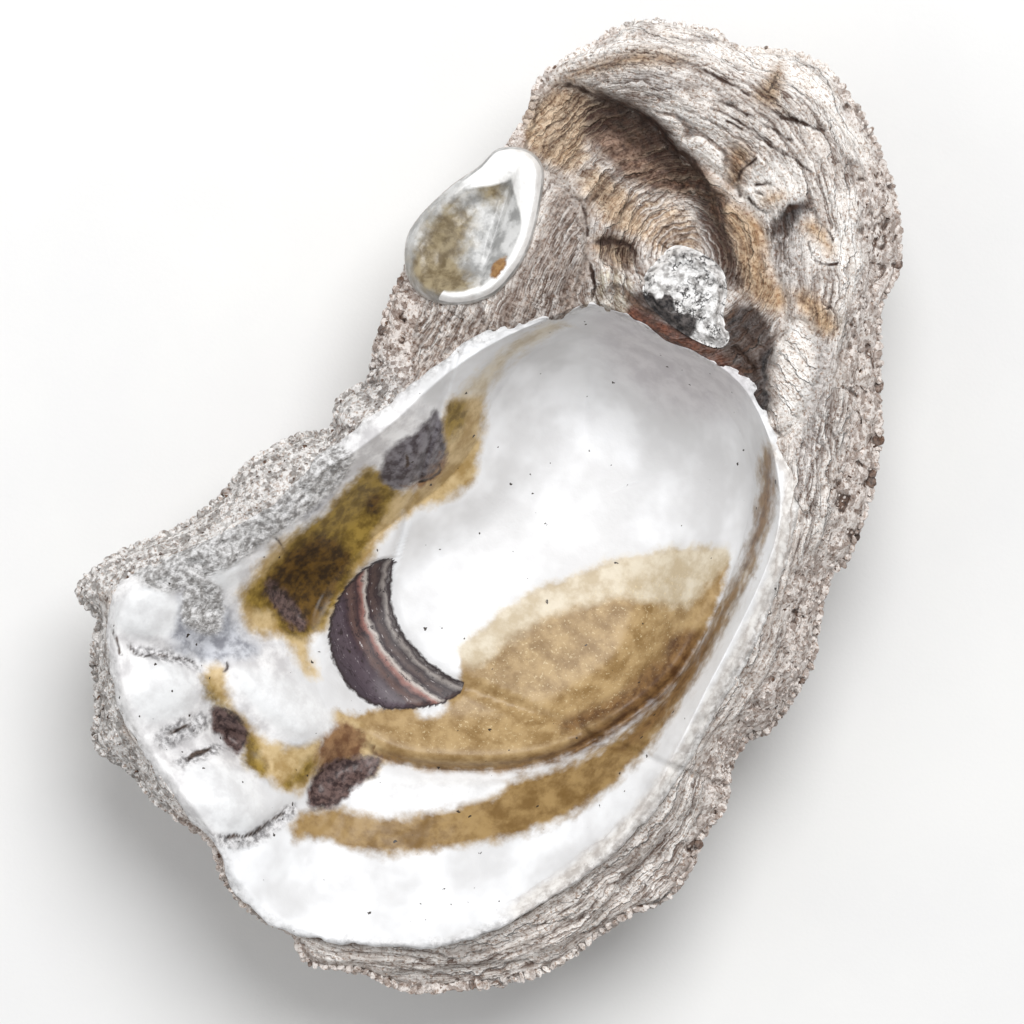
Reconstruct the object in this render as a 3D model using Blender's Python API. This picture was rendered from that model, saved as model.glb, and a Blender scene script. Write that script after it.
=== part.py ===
"""An old oyster's cupped valve: the empty half shell, lying on its rounded outer side.

The shell lies as a dish does. +Z is up, +Y runs from the ventral lip to the beak and X runs across.
The origin is under the middle of the shell, on the surface that it rests on. Lines, heights and
widths are in millimetres as drawn, and the meshes are in metres.

Each solid is a plan outline filled with rings of points. One height field shapes its upper face and
another its lower face, and a wall joins the two along the outline.
"""

import math

import bpy
import numpy as np

MM = 0.001

# Driving heights of the valve, above the surface that it rests on
DEEPEST_LEVEL = 8.5
FLOOR_CLIMB = 5.5
EDGE_THICKNESS = 3.6

# The cup's pole, which the rings of points surround
POLE = (2.0, -5.0)
AROUND = 128

# The flat scar on the outer side, where the oyster was once cemented to its bed, clockwise
SCAR_POINTS = [
    (2.0, 12.5), (8.5, 9.0), (12.5, 1.0), (13.0, -8.0), (10.0, -16.5), (3.5, -21.5),
    (-4.0, -20.0), (-8.5, -13.0), (-9.0, -4.0), (-6.0, 6.0),
]

# Room between a piece and the shell that it sits on, where both are faceted
GAP = 0.55

# The valve's edge, clockwise from the beak: x, y and the level of its upper side
OUTLINE_POINTS = [
    (5.0, 65.0, 25.5), (12.0, 62.7, 25.5), (16.0, 60.3, 25.5), (20.5, 56.4, 25.5),
    (25.0, 51.0, 25.0), (26.8, 47.0, 24.5), (27.0, 43.0, 26.5), (29.5, 37.8, 26.0),
    (32.5, 33.0, 25.5), (35.5, 27.5, 25.0), (37.5, 22.5, 24.5), (39.0, 16.5, 24.0),
    (39.3, 12.0, 23.5), (38.6, 9.8, 23.0), (40.3, 4.0, 22.5), (42.0, -0.5, 22.0),
    (42.3, -5.0, 22.0), (41.8, -10.5, 22.0), (40.0, -13.0, 22.5), (39.7, -17.0, 23.0),
    (41.5, -22.0, 23.5), (41.2, -27.0, 24.0), (41.9, -31.5, 24.5), (41.0, -36.0, 25.0),
    (38.0, -39.8, 25.5), (35.6, -45.0, 23.5), (33.0, -50.5, 23.5), (29.0, -55.0, 24.0),
    (24.0, -58.8, 24.0), (18.8, -62.0, 24.0), (12.5, -62.9, 25.0), (6.3, -65.3, 25.5),
    (2.5, -63.0, 27.0), (-3.0, -63.0, 27.5), (-8.5, -61.0, 27.5), (-12.0, -58.0, 27.5),
    (-20.0, -57.3, 26.5), (-25.5, -55.6, 25.5), (-30.5, -55.0, 24.5), (-33.2, -50.0, 24.5),
    (-36.7, -45.0, 24.5), (-38.5, -40.8, 24.5), (-42.0, -39.6, 24.5), (-41.9, -36.6, 24.5),
    (-39.3, -31.6, 24.5), (-34.8, -25.6, 24.5), (-32.6, -20.0, 24.5), (-31.4, -14.5, 25.0),
    (-28.0, -8.6, 24.5), (-24.8, -5.8, 24.5), (-25.6, -1.6, 24.0), (-23.7, 2.0, 24.0),
    (-25.2, 7.0, 23.5), (-26.4, 13.0, 23.5), (-26.8, 20.0, 23.5), (-25.8, 27.0, 24.0),
    (-23.8, 34.0, 24.5), (-23.0, 40.0, 25.5), (-23.7, 46.0, 25.5), (-20.6, 52.4, 25.5),
    (-17.0, 58.0, 25.5), (-12.0, 60.2, 25.5), (-8.5, 61.5, 25.5), (-4.5, 61.4, 25.5),
    (0.0, 63.6, 25.5),
]

# The rim's crest, clockwise from the hinge: x, y, level, and how long the outer side stays level
# before it falls to the edge
CREST_POINTS = [
    (-4.6, 24.4, 28.8, 2.2), (0.0, 25.5, 29.0, 3.0), (6.0, 25.7, 29.2, 3.0),
    (12.0, 25.8, 29.2, 3.0), (17.0, 25.0, 29.8, 2.6), (21.3, 22.6, 30.8, 2.0),
    (25.0, 19.3, 31.6, 1.6), (28.4, 15.0, 32.2, 1.3), (30.5, 10.0, 32.6, 1.2),
    (31.5, 4.0, 32.8, 1.2), (32.0, -3.0, 32.8, 1.2), (32.3, -10.0, 32.6, 1.2),
    (32.8, -18.0, 32.2, 1.3), (33.0, -25.0, 31.6, 1.3), (32.2, -32.0, 30.6, 1.2),
    (30.2, -39.0, 29.4, 1.2), (27.0, -46.0, 28.4, 1.2), (23.5, -50.8, 27.8, 1.2),
    (18.5, -55.3, 27.4, 1.2), (12.0, -59.0, 27.2, 1.2), (5.0, -61.7, 27.2, 1.2),
    (-2.0, -62.0, 27.6, 1.2), (-8.0, -60.0, 28.6, 1.2), (-13.5, -56.7, 29.6, 1.2),
    (-20.0, -53.8, 30.2, 1.2), (-27.0, -50.2, 30.6, 1.2), (-32.0, -46.0, 30.8, 1.2),
    (-35.6, -41.0, 30.8, 1.2), (-36.4, -36.0, 30.6, 1.2), (-34.0, -31.0, 30.6, 1.3),
    (-31.0, -26.5, 30.6, 1.3), (-28.5, -22.0, 30.4, 1.3), (-26.0, -17.0, 30.2, 1.3),
    (-23.5, -11.0, 30.0, 1.3), (-20.5, -5.5, 29.8, 1.3), (-18.3, 0.0, 29.6, 1.3),
    (-16.8, 5.0, 29.4, 1.4), (-14.8, 10.0, 29.2, 1.5), (-12.0, 15.0, 29.0, 1.6),
    (-8.5, 19.8, 28.8, 1.8),
]

# The fold between floor and wall, clockwise from the hinge: x, y, level, how far in the floor
# curves down from it, and how hollow the wall outside it is
FOLD_POINTS = [
    (-2.5, 21.5, 21.0, 8.0, 1.0), (3.0, 22.6, 21.0, 8.5, 1.0), (9.0, 22.9, 21.0, 9.0, 1.0),
    (15.0, 22.2, 21.0, 9.5, 1.0), (20.0, 20.0, 21.5, 10.0, 1.0), (23.6, 16.6, 22.0, 10.5, 1.0),
    (26.0, 12.0, 22.0, 11.0, 0.9), (27.6, 6.0, 21.5, 11.0, 0.9), (28.6, 0.0, 20.5, 11.0, 0.8),
    (29.0, -6.0, 19.0, 10.0, 0.8), (28.7, -11.0, 19.0, 9.0, 0.8), (27.4, -15.5, 17.8, 8.0, 0.8),
    (25.4, -20.0, 17.8, 8.0, 0.9), (22.8, -24.6, 17.0, 8.0, 0.9), (19.3, -29.0, 16.5, 8.0, 1.0),
    (14.5, -32.8, 16.2, 8.0, 1.1), (9.0, -35.9, 16.2, 8.0, 1.2), (4.0, -38.0, 16.4, 8.0, 1.2),
    (-1.5, -38.6, 17.0, 8.0, 1.2), (-7.0, -37.0, 18.0, 8.0, 1.1), (-12.0, -33.0, 18.5, 8.0, 1.0),
    (-15.2, -28.0, 18.5, 8.0, 0.9), (-15.6, -22.0, 18.5, 8.0, 0.9), (-14.0, -16.0, 18.0, 8.0, 0.9),
    (-11.6, -10.0, 17.0, 8.0, 0.9), (-9.2, -4.0, 15.5, 8.5, 0.9), (-8.4, 2.0, 16.0, 9.0, 0.9),
    (-9.0, 8.0, 17.0, 9.0, 1.0), (-8.4, 13.5, 18.5, 8.5, 1.0), (-6.2, 18.0, 20.0, 8.0, 1.0),
]

# How far the floor's edge stands up along the fold, clockwise from the hinge: x, y and height
ROLL_POINTS = [
    (26.0, 12.0, 0.0), (27.6, 6.0, 0.4), (28.6, 0.0, 0.8), (29.0, -6.0, 1.2), (28.7, -11.0, 1.5),
    (27.4, -15.5, 1.7), (25.4, -20.0, 1.8), (22.8, -24.6, 1.8), (19.3, -29.0, 1.8),
    (14.5, -32.8, 1.9), (9.0, -35.9, 1.9), (4.0, -38.0, 1.5), (-1.5, -38.6, 0.8), (-7.0, -37.0, 0.0),
]

# The hood of stacked layers round the beak: x, y and how far it stands up
HOOD_POINTS = [
    (-23.0, 47.0, 2.0), (-19.5, 51.5, 3.5), (-14.0, 54.8, 5.0), (-7.0, 56.6, 6.2),
    (1.0, 56.6, 6.8), (8.0, 54.8, 6.6), (13.5, 50.5, 6.0), (18.0, 44.5, 5.2), (21.5, 38.0, 4.2),
    (24.5, 31.0, 3.0), (27.0, 24.0, 1.5), (29.5, 16.0, 0.0),
]

# The hood's lip, which overhangs the ligament groove: x, y and height
LIP_POINTS = [
    (-22.5, 46.2, 0.8), (-18.0, 47.6, 1.8), (-14.0, 48.4, 2.6), (-9.0, 48.4, 2.8),
    (-5.5, 47.0, 2.6), (-2.0, 46.0, 2.2), (1.0, 44.5, 1.8), (4.0, 41.5, 1.4), (7.0, 38.7, 0.8),
    (10.0, 36.4, 0.2),
]
GROOVE_POINTS = [(-19.0, 42.0), (-12.0, 43.0), (-5.0, 41.0), (0.0, 37.0), (5.0, 32.0)]

# Edges of the growth layers that show outside the rim, counter-clockwise: x, y and the step down
UPPER_LAYER_POINTS = [
    (0.0, -63.5, 0.0), (3.5, -62.6, 1.2), (10.0, -60.3, 1.6), (15.0, -57.8, 1.6),
    (19.0, -55.0, 1.8), (22.0, -51.8, 1.8), (25.0, -49.0, 1.8), (27.5, -45.2, 1.8),
    (30.0, -40.0, 1.6), (32.4, -34.5, 1.2), (33.6, -28.0, 0.8), (34.5, -20.0, 0.4),
    (34.0, -12.0, 0.0),
]
LOWER_LAYER_POINTS = [
    (14.0, -62.5, 0.0), (16.5, -61.0, 1.2), (20.5, -58.3, 1.6), (25.0, -54.8, 1.6),
    (29.0, -52.0, 1.6), (32.0, -48.5, 1.6), (34.2, -44.5, 1.6), (35.0, -39.0, 1.4),
    (36.3, -31.0, 1.2), (38.3, -23.0, 0.6), (38.0, -15.0, 0.0),
]
BEAK_LAYER_POINTS = [
    (37.3, -16.0, 0.0), (38.2, -8.0, 0.8), (36.8, 4.0, 1.0), (35.6, 14.0, 1.1), (33.4, 23.0, 1.2),
    (30.0, 31.0, 1.3), (26.2, 39.0, 1.3), (23.4, 47.0, 1.4), (19.4, 53.5, 1.5), (13.6, 58.4, 1.5),
    (6.0, 61.2, 1.5), (-3.0, 59.4, 1.4), (-10.5, 58.2, 1.3), (-17.0, 54.8, 1.1), (-21.5, 50.0, 0.0),
]

# The adductor muscle's mark: its inner arc, as x, y and the crescent's width there
MUSCLE_POINTS = [
    (-9.8, -15.6, 0.5), (-9.2, -18.0, 4.0), (-7.6, -20.8, 7.5), (-5.0, -23.2, 9.5),
    (-1.0, -24.8, 9.0), (3.0, -25.4, 5.0), (6.4, -25.0, 0.5),
]

# Mounds and hollows of cup and rim: centre x and y, radii along and across, turn, height
SWELLS = [
    (-33.0, -36.5, 5.5, 4.0, 0.0, 1.8),
    (-27.0, -44.3, 5.5, 4.3, 35.0, 2.2),
    (-12.5, -52.6, 6.5, 4.0, -10.0, 2.4),
    (-28.0, -28.0, 5.0, 4.0, 60.0, 1.5),
    (-24.0, -20.0, 5.0, 2.6, 65.0, 1.2),
    (-13.0, -38.8, 9.5, 4.2, -8.0, 3.0),
    (-13.6, -3.5, 5.5, 3.2, 75.0, 1.6),
    (-21.5, -2.0, 4.0, 3.5, 0.0, 1.2),
    (39.5, -5.0, 7.0, 2.6, 90.0, 1.6),
    (5.5, 61.0, 6.0, 3.0, 0.0, 1.2),
    (-11.0, 27.5, 6.5, 4.6, 70.0, 1.8),
    (7.6, 47.2, 3.6, 2.8, 0.0, 0.9),
    (-18.0, -25.0, 6.0, 4.6, 60.0, -3.4),
    (-16.5, -12.5, 6.5, 2.8, 80.0, -1.8),
    (-16.8, -46.0, 4.2, 2.0, -15.0, -2.8),
    (-3.0, -43.5, 5.6, 2.8, 70.0, -2.0),
    (-24.5, -37.5, 3.6, 2.6, 60.0, -1.6),
    (-30.0, -40.6, 5.0, 1.2, 10.0, -1.2),
    (-20.5, -49.5, 4.2, 1.6, 40.0, -1.4),
    (-6.8, -53.5, 5.0, 1.4, 65.0, -1.4),
    (-5.2, 31.0, 2.6, 1.8, -35.0, -1.4),
    (2.0, 60.3, 3.0, 1.3, 60.0, -1.2),
]

# Crags of the outer side and lumps of the lower face: their width and height
CRAGS = ((9.0, 0.9), (4.0, 0.6))
LOWER_LUMPS = ((14.0, 1.1), (7.0, 0.5))

# Growth steps of the lower face, how much of each is level, and how hollow the climb is
GROWTH_STEPS = 5
STEP_FLAT = 0.7
LOWER_HOLLOW = 1.2

# A young oyster's valve that grew on the side of the shell
SPAT_POINTS = [
    (-24.4, 35.4), (-21.5, 37.1), (-18.4, 36.2), (-16.3, 31.8), (-15.0, 27.0), (-14.9, 23.0),
    (-16.0, 19.0), (-19.4, 15.8), (-23.5, 14.9), (-26.4, 16.2), (-28.5, 19.6), (-28.7, 23.0),
    (-27.2, 28.2), (-25.4, 32.2),
]
SPAT_RIM_HEIGHT = 2.6
SPAT_DISH_DEPTH = 1.5
SPAT_RIM_RUN = 3.4
SPAT_BEAK = (-20.5, 34.5, 3.4, 2.6, 0.0, 1.0)

# The chalky rest of the ligament, in front of the groove
LIGAMENT_POINTS = [
    (0.0, 33.5), (1.0, 36.2), (4.0, 37.0), (7.4, 36.6), (9.5, 34.6), (10.8, 31.4),
    (12.8, 29.4), (12.2, 27.6), (8.6, 27.0), (4.0, 27.4), (0.8, 28.6), (-0.4, 31.0),
]
LIGAMENT_HEIGHT = 2.2
LIGAMENT_CRUMBS = (1.6, 0.35)


def ease(t):
    t = np.clip(t, 0.0, 1.0)
    return t * t * (3 - 2 * t)


class Trace:
    """A smooth line through drawn points. Values after x and y are carried along it."""

    STEP = 0.4

    def __init__(self, points, closed=False):
        knots = np.array(points, float)
        if closed:
            knots = np.vstack([knots[-1], knots, knots[:2]])
        else:
            knots = np.vstack([2 * knots[0] - knots[1], knots, 2 * knots[-1] - knots[-2]])
        stretches = []
        for before, start, end, after in zip(knots, knots[1:], knots[2:], knots[3:]):
            count = max(2, int(np.linalg.norm(end[:2] - start[:2]) / self.STEP))
            t = np.arange(count)[:, None] / count
            bend = 2 * before - 5 * start + 4 * end - after
            twist = 3 * (start - end) + after - before
            stretches.append(start + 0.5 * t * (end - before + t * (bend + t * twist)))
        line = np.vstack(stretches)
        self.points, self.carried, self.closed = line[:, :2], line[:, 2:], closed
        ahead = np.roll(self.points, -1, axis=0) - np.roll(self.points, 1, axis=0)
        if not closed:
            ahead[0] = self.points[1] - self.points[0]
            ahead[-1] = self.points[-1] - self.points[-2]
        self.ahead = ahead / np.linalg.norm(ahead, axis=1, keepdims=True)

    def measure(self, x, y):
        """Signed distance, positive on the line's right-hand side, and the values carried there.

        It is measured square to the line when close to it or past its ends, so that it stays smooth.
        """
        offset = np.stack([x, y], axis=1)[:, None, :] - self.points
        near = np.argmin((offset**2).sum(axis=2), axis=1)
        offset, ahead = offset[np.arange(len(near)), near], self.ahead[near]
        side = offset[:, 0] * ahead[:, 1] - offset[:, 1] * ahead[:, 0]
        distance = np.hypot(*offset.T) * np.where(side < 0, -1, 1)
        inner = self.closed | ((near > 0) & (near < len(self.points) - 1))
        return np.where(inner & (np.abs(side) > 2 * self.STEP), distance, side), self.carried[near].T

    def reach(self, bearings, pole):
        """Distance from the pole to a closed line, along each bearing."""
        offset = self.points - pole
        order = np.argsort(np.arctan2(offset[:, 1], offset[:, 0]))
        offset = offset[order]
        own = np.arctan2(offset[:, 1], offset[:, 0])
        return np.interp(bearings, own, np.hypot(*offset.T), period=2 * math.pi)


OUTLINE = Trace(OUTLINE_POINTS, closed=True)
CREST = Trace(CREST_POINTS, closed=True)
FOLD = Trace(FOLD_POINTS, closed=True)
ROLL = Trace(ROLL_POINTS)
HOOD = Trace(HOOD_POINTS)
LIP = Trace(LIP_POINTS)
GROOVE = Trace(GROOVE_POINTS)
SCAR = Trace(SCAR_POINTS, closed=True)
LAYERS = (Trace(UPPER_LAYER_POINTS), Trace(LOWER_LAYER_POINTS), Trace(BEAK_LAYER_POINTS))
MUSCLE = Trace(MUSCLE_POINTS)


def lattice_noise(x, y, size, seed):
    """Smooth noise from -1 to 1 that repeats exactly each run, with bumps about as wide as size."""

    def corner(column, row):
        mixed = (column * 374761393 + row * 668265263 + seed * 974634777) & 0x7FFFFFFF
        mixed = ((mixed ^ (mixed >> 13)) * 1274126177) & 0x7FFFFFFF
        return ((mixed ^ (mixed >> 16)) & 0xFFFF) / 32767.5 - 1

    x, y = x / size, y / size
    column, row = np.floor(x).astype(np.int64), np.floor(y).astype(np.int64)
    u, v = ease(x - column), ease(y - row)
    low = corner(column, row) * (1 - u) + corner(column + 1, row) * u
    high = corner(column, row + 1) * (1 - u) + corner(column + 1, row + 1) * u
    return low * (1 - v) + high * v


def swell(x, y, shape):
    """A rounded mound or hollow, which fades out a little past its radii."""
    centre_x, centre_y, along_radius, across_radius, turn, height = shape
    angle = math.radians(turn)
    along = (x - centre_x) * math.cos(angle) + (y - centre_y) * math.sin(angle)
    across = (y - centre_y) * math.cos(angle) - (x - centre_x) * math.sin(angle)
    return height * np.exp(-1.2 * ((along / along_radius) ** 2 + (across / across_radius) ** 2))


def between(near, far):
    """How far a point is from one line to another, from 0 to 1."""
    near, far = np.maximum(near, 0.0), np.maximum(far, 0.0)
    return near / (near + far + 0.001)


def cup_and_flank(x, y):
    """The bowl, the wall round it, and the outer side that falls from the rim's crest."""
    in_fold, (fold_level, run, hollow) = FOLD.measure(x, y)
    in_crest, (crest_level, shelf) = CREST.measure(x, y)
    to_edge, (edge_level,) = OUTLINE.measure(x, y)
    deepest = DEEPEST_LEVEL + FLOOR_CLIMB * ease((18.0 - y) / 52.0)
    floor = deepest + (fold_level - deepest) * (1 - ease(in_fold / run)) ** 1.2
    wall = fold_level + (crest_level - fold_level) * between(-in_fold, in_crest) ** hollow
    flank = crest_level + (edge_level - crest_level) * between(-in_crest, to_edge) ** shelf
    return np.where(in_fold > 0, floor, np.where(in_crest > 0, wall, flank)), -in_crest


def hood_and_lip(x, y):
    """Stacked layers that stand round the beak, and the lip over the ligament groove."""
    across, (crown,) = HOOD.measure(x, y)
    ridge = crown * np.exp(-((across / 6.5) ** 2))
    below, (height,) = LIP.measure(x, y)
    lip = 0.5 * height * (1 - 2 * ease(0.5 + below / 1.6)) * ease(1.2 - np.abs(below) / 12.0)
    trough, _ = GROOVE.measure(x, y)
    return ridge + lip - 2.2 * np.exp(-((trough / 5.0) ** 2))


def rolled_floor(x, y):
    """The floor's rounded shoulder along its fold against the wall, and the crease beside it."""
    inward, (size,) = ROLL.measure(x, y)
    shoulder = ease(inward / 1.5) * np.exp(-((np.maximum(inward - 1.5, 0.0) / 4.5) ** 2))
    crease = np.exp(-((inward / 1.5) ** 2))
    return size * (shoulder - 0.4 * crease)


def layer_steps(x, y):
    """The drops at the edges of the growth layers, which fade out further off."""
    drop = np.zeros(len(x))
    for layer in LAYERS:
        outward, (step,) = layer.measure(x, y)
        drop += step * ease(0.5 + outward / 1.2) * ease(2.0 - np.abs(outward) / 4.0)
    return drop


def muscle_mark(x, y):
    """A shallow crescent, sunk below its inner arc."""
    outward, (width,) = MUSCLE.measure(x, y)
    return 0.8 * ease(outward / 1.2 + 0.5) * ease((width - outward) / 1.2 + 0.5)


def upper_face(x, y):
    """The height of what shows from above: cup, rim, hinge, hood and outer layers."""
    height, outside = cup_and_flank(x, y)
    height += hood_and_lip(x, y) * ease((y - 22.0) / 8.0) * ease(outside / 3.0)
    height += rolled_floor(x, y) - muscle_mark(x, y) - layer_steps(x, y)
    for shape in SWELLS:
        height += swell(x, y, shape)
    for seed, (size, amount) in enumerate(CRAGS):
        height += amount * lattice_noise(x, y, size, seed) * ease(outside / 4.0)
    return height


def lower_face(x, y):
    """The rounded outer side: flat on its scar, then climbing in growth steps to the edge."""
    bearings, away = np.arctan2(y - POLE[1], x - POLE[0]), np.hypot(x - POLE[0], y - POLE[1])
    scar, edge = SCAR.reach(bearings, POLE), OUTLINE.reach(bearings, POLE)
    share = np.clip((away - scar) / (edge - scar), 0.0, 1.0)
    _, (edge_level,) = OUTLINE.measure(x, y)
    step, part = np.divmod(GROWTH_STEPS * share, 1.0)
    terrace = (step + ease((part - STEP_FLAT) / (1.0 - STEP_FLAT))) / GROWTH_STEPS
    climb = (0.35 * share + 0.65 * terrace) ** LOWER_HOLLOW
    height = (edge_level - EDGE_THICKNESS) * climb
    for seed, (size, amount) in enumerate(LOWER_LUMPS):
        lump = lattice_noise(x, y, size, 20 + seed)
        height += amount * lump * ease((away - scar) / 8.0) * (1 - share)
    return np.maximum(height, 0.0)


def ring_points(pole, around, spans):
    """Points in rings round a pole. Each span is a closed line and the shares of the way to it."""
    bearings = spread_bearings(pole, spans[-1][0], around)
    rings = []
    start = np.zeros(around)
    for line, shares in spans:
        end = line.reach(bearings, pole)
        for share in shares:
            thinned = slice(None, None, thinning(share) if line is spans[0][0] else 1)
            radius = (start + (end - start) * share)[thinned]
            turned = bearings[thinned]
            rings.append(pole + radius[:, None] * np.stack([np.cos(turned), np.sin(turned)], axis=1))
        start = end
    return rings


def thinning(share):
    """Short rings near the pole keep only one in so many points."""
    return 8 if share < 0.15 else 4 if share < 0.3 else 2 if share < 0.5 else 1


def spread_bearings(pole, outer, around):
    """Bearings that cut the outer line into nearly even lengths."""
    even = np.linspace(-math.pi, math.pi, 2881)
    radius = outer.reach(even, pole)
    steps = np.hypot(np.diff(radius), radius[1:] * np.diff(even))
    length = np.concatenate([[0.0], np.cumsum(steps)])
    share = length / length[-1]
    mixed = 0.8 * share + 0.2 * np.linspace(0.0, 1.0, len(share))
    return np.interp(np.arange(around) / around, mixed, even)


def stitch(inner, outer):
    """Triangles between two rings of point numbers, the outer with once or twice as many points."""
    faces = []
    ratio = len(outer) // len(inner)
    for place, start in enumerate(inner):
        end = inner[(place + 1) % len(inner)]
        edge = [outer[(place * ratio + step) % len(outer)] for step in range(ratio + 1)]
        faces.append((start, edge[0], edge[1]))
        faces.append((start, edge[1], end))
        if ratio == 2:
            faces.append((end, edge[1], edge[2]))
    return faces


def face_of_rings(pole, rings, height_field, first):
    """One face of a solid: its points, its triangles and the numbers of its last ring."""
    flat = np.vstack([[pole], *rings])
    points = np.column_stack([flat, height_field(flat[:, 0], flat[:, 1])])
    numbers, count = [], first + 1
    for ring in rings:
        numbers.append(list(range(count, count + len(ring))))
        count += len(ring)
    faces = [(first, a, b) for a, b in zip(numbers[0], numbers[0][1:] + numbers[0][:1])]
    for inner, outer in zip(numbers, numbers[1:]):
        faces += stitch(inner, outer)
    return points, faces, numbers[-1]


def build_solid(name, pole, upper_rings, lower_rings, upper, lower, material):
    """One closed solid between two height fields that meet in a wall along the same last ring."""
    top, top_faces, top_edge = face_of_rings(pole, upper_rings, upper, 0)
    bottom, bottom_faces, bottom_edge = face_of_rings(pole, lower_rings, lower, len(top))
    faces = top_faces + [face[::-1] for face in bottom_faces]
    wall = stitch(bottom_edge, top_edge)
    faces += [face[::-1] for face in wall]
    mesh = bpy.data.meshes.new(name)
    mesh.from_pydata((np.vstack([top, bottom]) * MM).tolist(), [], faces)
    mesh.materials.append(material)
    mesh.shade_smooth()
    mesh.set_sharp_from_angle(angle=math.radians(50))
    solid = bpy.data.objects.new(name, mesh)
    bpy.context.scene.collection.objects.link(solid)
    return solid


def finish(name, colour, roughness):
    """A plain Principled finish in the piece's own colour."""
    material = bpy.data.materials.new(name)
    material.use_nodes = True
    surface = material.node_tree.nodes["Principled BSDF"]
    surface.inputs["Base Color"].default_value = (*colour, 1.0)
    surface.inputs["Roughness"].default_value = roughness
    surface.inputs["Metallic"].default_value = 0.0
    return material


def make_valve():
    pole = np.array(POLE)
    floor_shares = (0.09, 0.2, 0.32, 0.44, 0.55, 0.66, 0.76, 0.85, 0.94, 1.0)
    wall_shares = np.linspace(0.0, 1.0, 7)[1:]
    flank_shares = np.linspace(0.0, 1.0, 12)[1:]
    upper_rings = ring_points(
        pole, AROUND, [(FOLD, floor_shares), (CREST, wall_shares), (OUTLINE, flank_shares)]
    )
    step_parts = (0.4, 0.75, 1.0)
    step_shares = [(step + part) / GROWTH_STEPS for step in range(GROWTH_STEPS) for part in step_parts]
    lower_rings = ring_points(pole, AROUND, [(SCAR, (0.3, 0.65, 1.0)), (OUTLINE, step_shares)])
    nacre = finish("nacre", (0.86, 0.84, 0.81), 0.3)
    return build_solid("valve", pole, upper_rings, lower_rings, upper_face, lower_face, nacre)


def make_spat():
    """The young valve: a raised rim round a shallow dish, its base a gap above the host."""
    trace = Trace(SPAT_POINTS, closed=True)
    pole = trace.points.mean(axis=0)
    rings = ring_points(pole, 32, [(trace, np.linspace(0.0, 1.0, 9)[1:])])

    def base(x, y):
        return upper_face(x, y) + GAP

    def top(x, y):
        inward, _ = trace.measure(x, y)
        rim = SPAT_RIM_HEIGHT * ease(inward / 2.0 + 0.3)
        dish = SPAT_DISH_DEPTH * ease((inward - 1.4) / SPAT_RIM_RUN)
        return base(x, y) + rim - dish + swell(x, y, SPAT_BEAK)

    young_nacre = finish("young_nacre", (0.84, 0.83, 0.79), 0.35)
    return build_solid("spat_valve", pole, rings, rings, top, base, young_nacre)


def make_ligament():
    """The crumbly block that fills the ligament pit, standing a little proud of it."""
    trace = Trace(LIGAMENT_POINTS, closed=True)
    pole = trace.points.mean(axis=0)
    rings = ring_points(pole, 32, [(trace, np.linspace(0.0, 1.0, 7)[1:])])

    def base(x, y):
        return upper_face(x, y) + GAP

    def top(x, y):
        inward, _ = trace.measure(x, y)
        size, amount = LIGAMENT_CRUMBS
        crumbs = amount * lattice_noise(x, y, size, 11)
        return base(x, y) + 0.6 + (LIGAMENT_HEIGHT - 0.6) * ease(inward / 2.0) + crumbs

    chalk = finish("chalk", (0.62, 0.6, 0.58), 0.8)
    return build_solid("ligament", pole, rings, rings, top, base, chalk)


def main():
    for old in list(bpy.data.objects):
        bpy.data.objects.remove(old)
    make_valve()
    make_spat()
    make_ligament()


main()
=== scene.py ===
import math

import bpy
import numpy as np
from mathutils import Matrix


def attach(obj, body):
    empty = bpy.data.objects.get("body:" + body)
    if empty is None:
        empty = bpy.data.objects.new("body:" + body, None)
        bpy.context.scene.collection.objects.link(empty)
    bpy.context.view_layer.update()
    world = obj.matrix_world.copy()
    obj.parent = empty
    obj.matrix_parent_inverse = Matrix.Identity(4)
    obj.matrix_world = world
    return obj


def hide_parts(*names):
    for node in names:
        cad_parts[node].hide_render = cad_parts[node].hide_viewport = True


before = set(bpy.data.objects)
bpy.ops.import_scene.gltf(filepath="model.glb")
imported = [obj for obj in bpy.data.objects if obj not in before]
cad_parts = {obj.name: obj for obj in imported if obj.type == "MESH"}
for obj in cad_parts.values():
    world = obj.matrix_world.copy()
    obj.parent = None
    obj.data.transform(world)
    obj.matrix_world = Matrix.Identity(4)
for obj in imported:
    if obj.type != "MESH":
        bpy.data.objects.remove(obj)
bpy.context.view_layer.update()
mm = 0.001


def ease(t):
    t = np.clip(t, 0.0, 1.0)
    return t * t * (3 - 2 * t)


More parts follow.
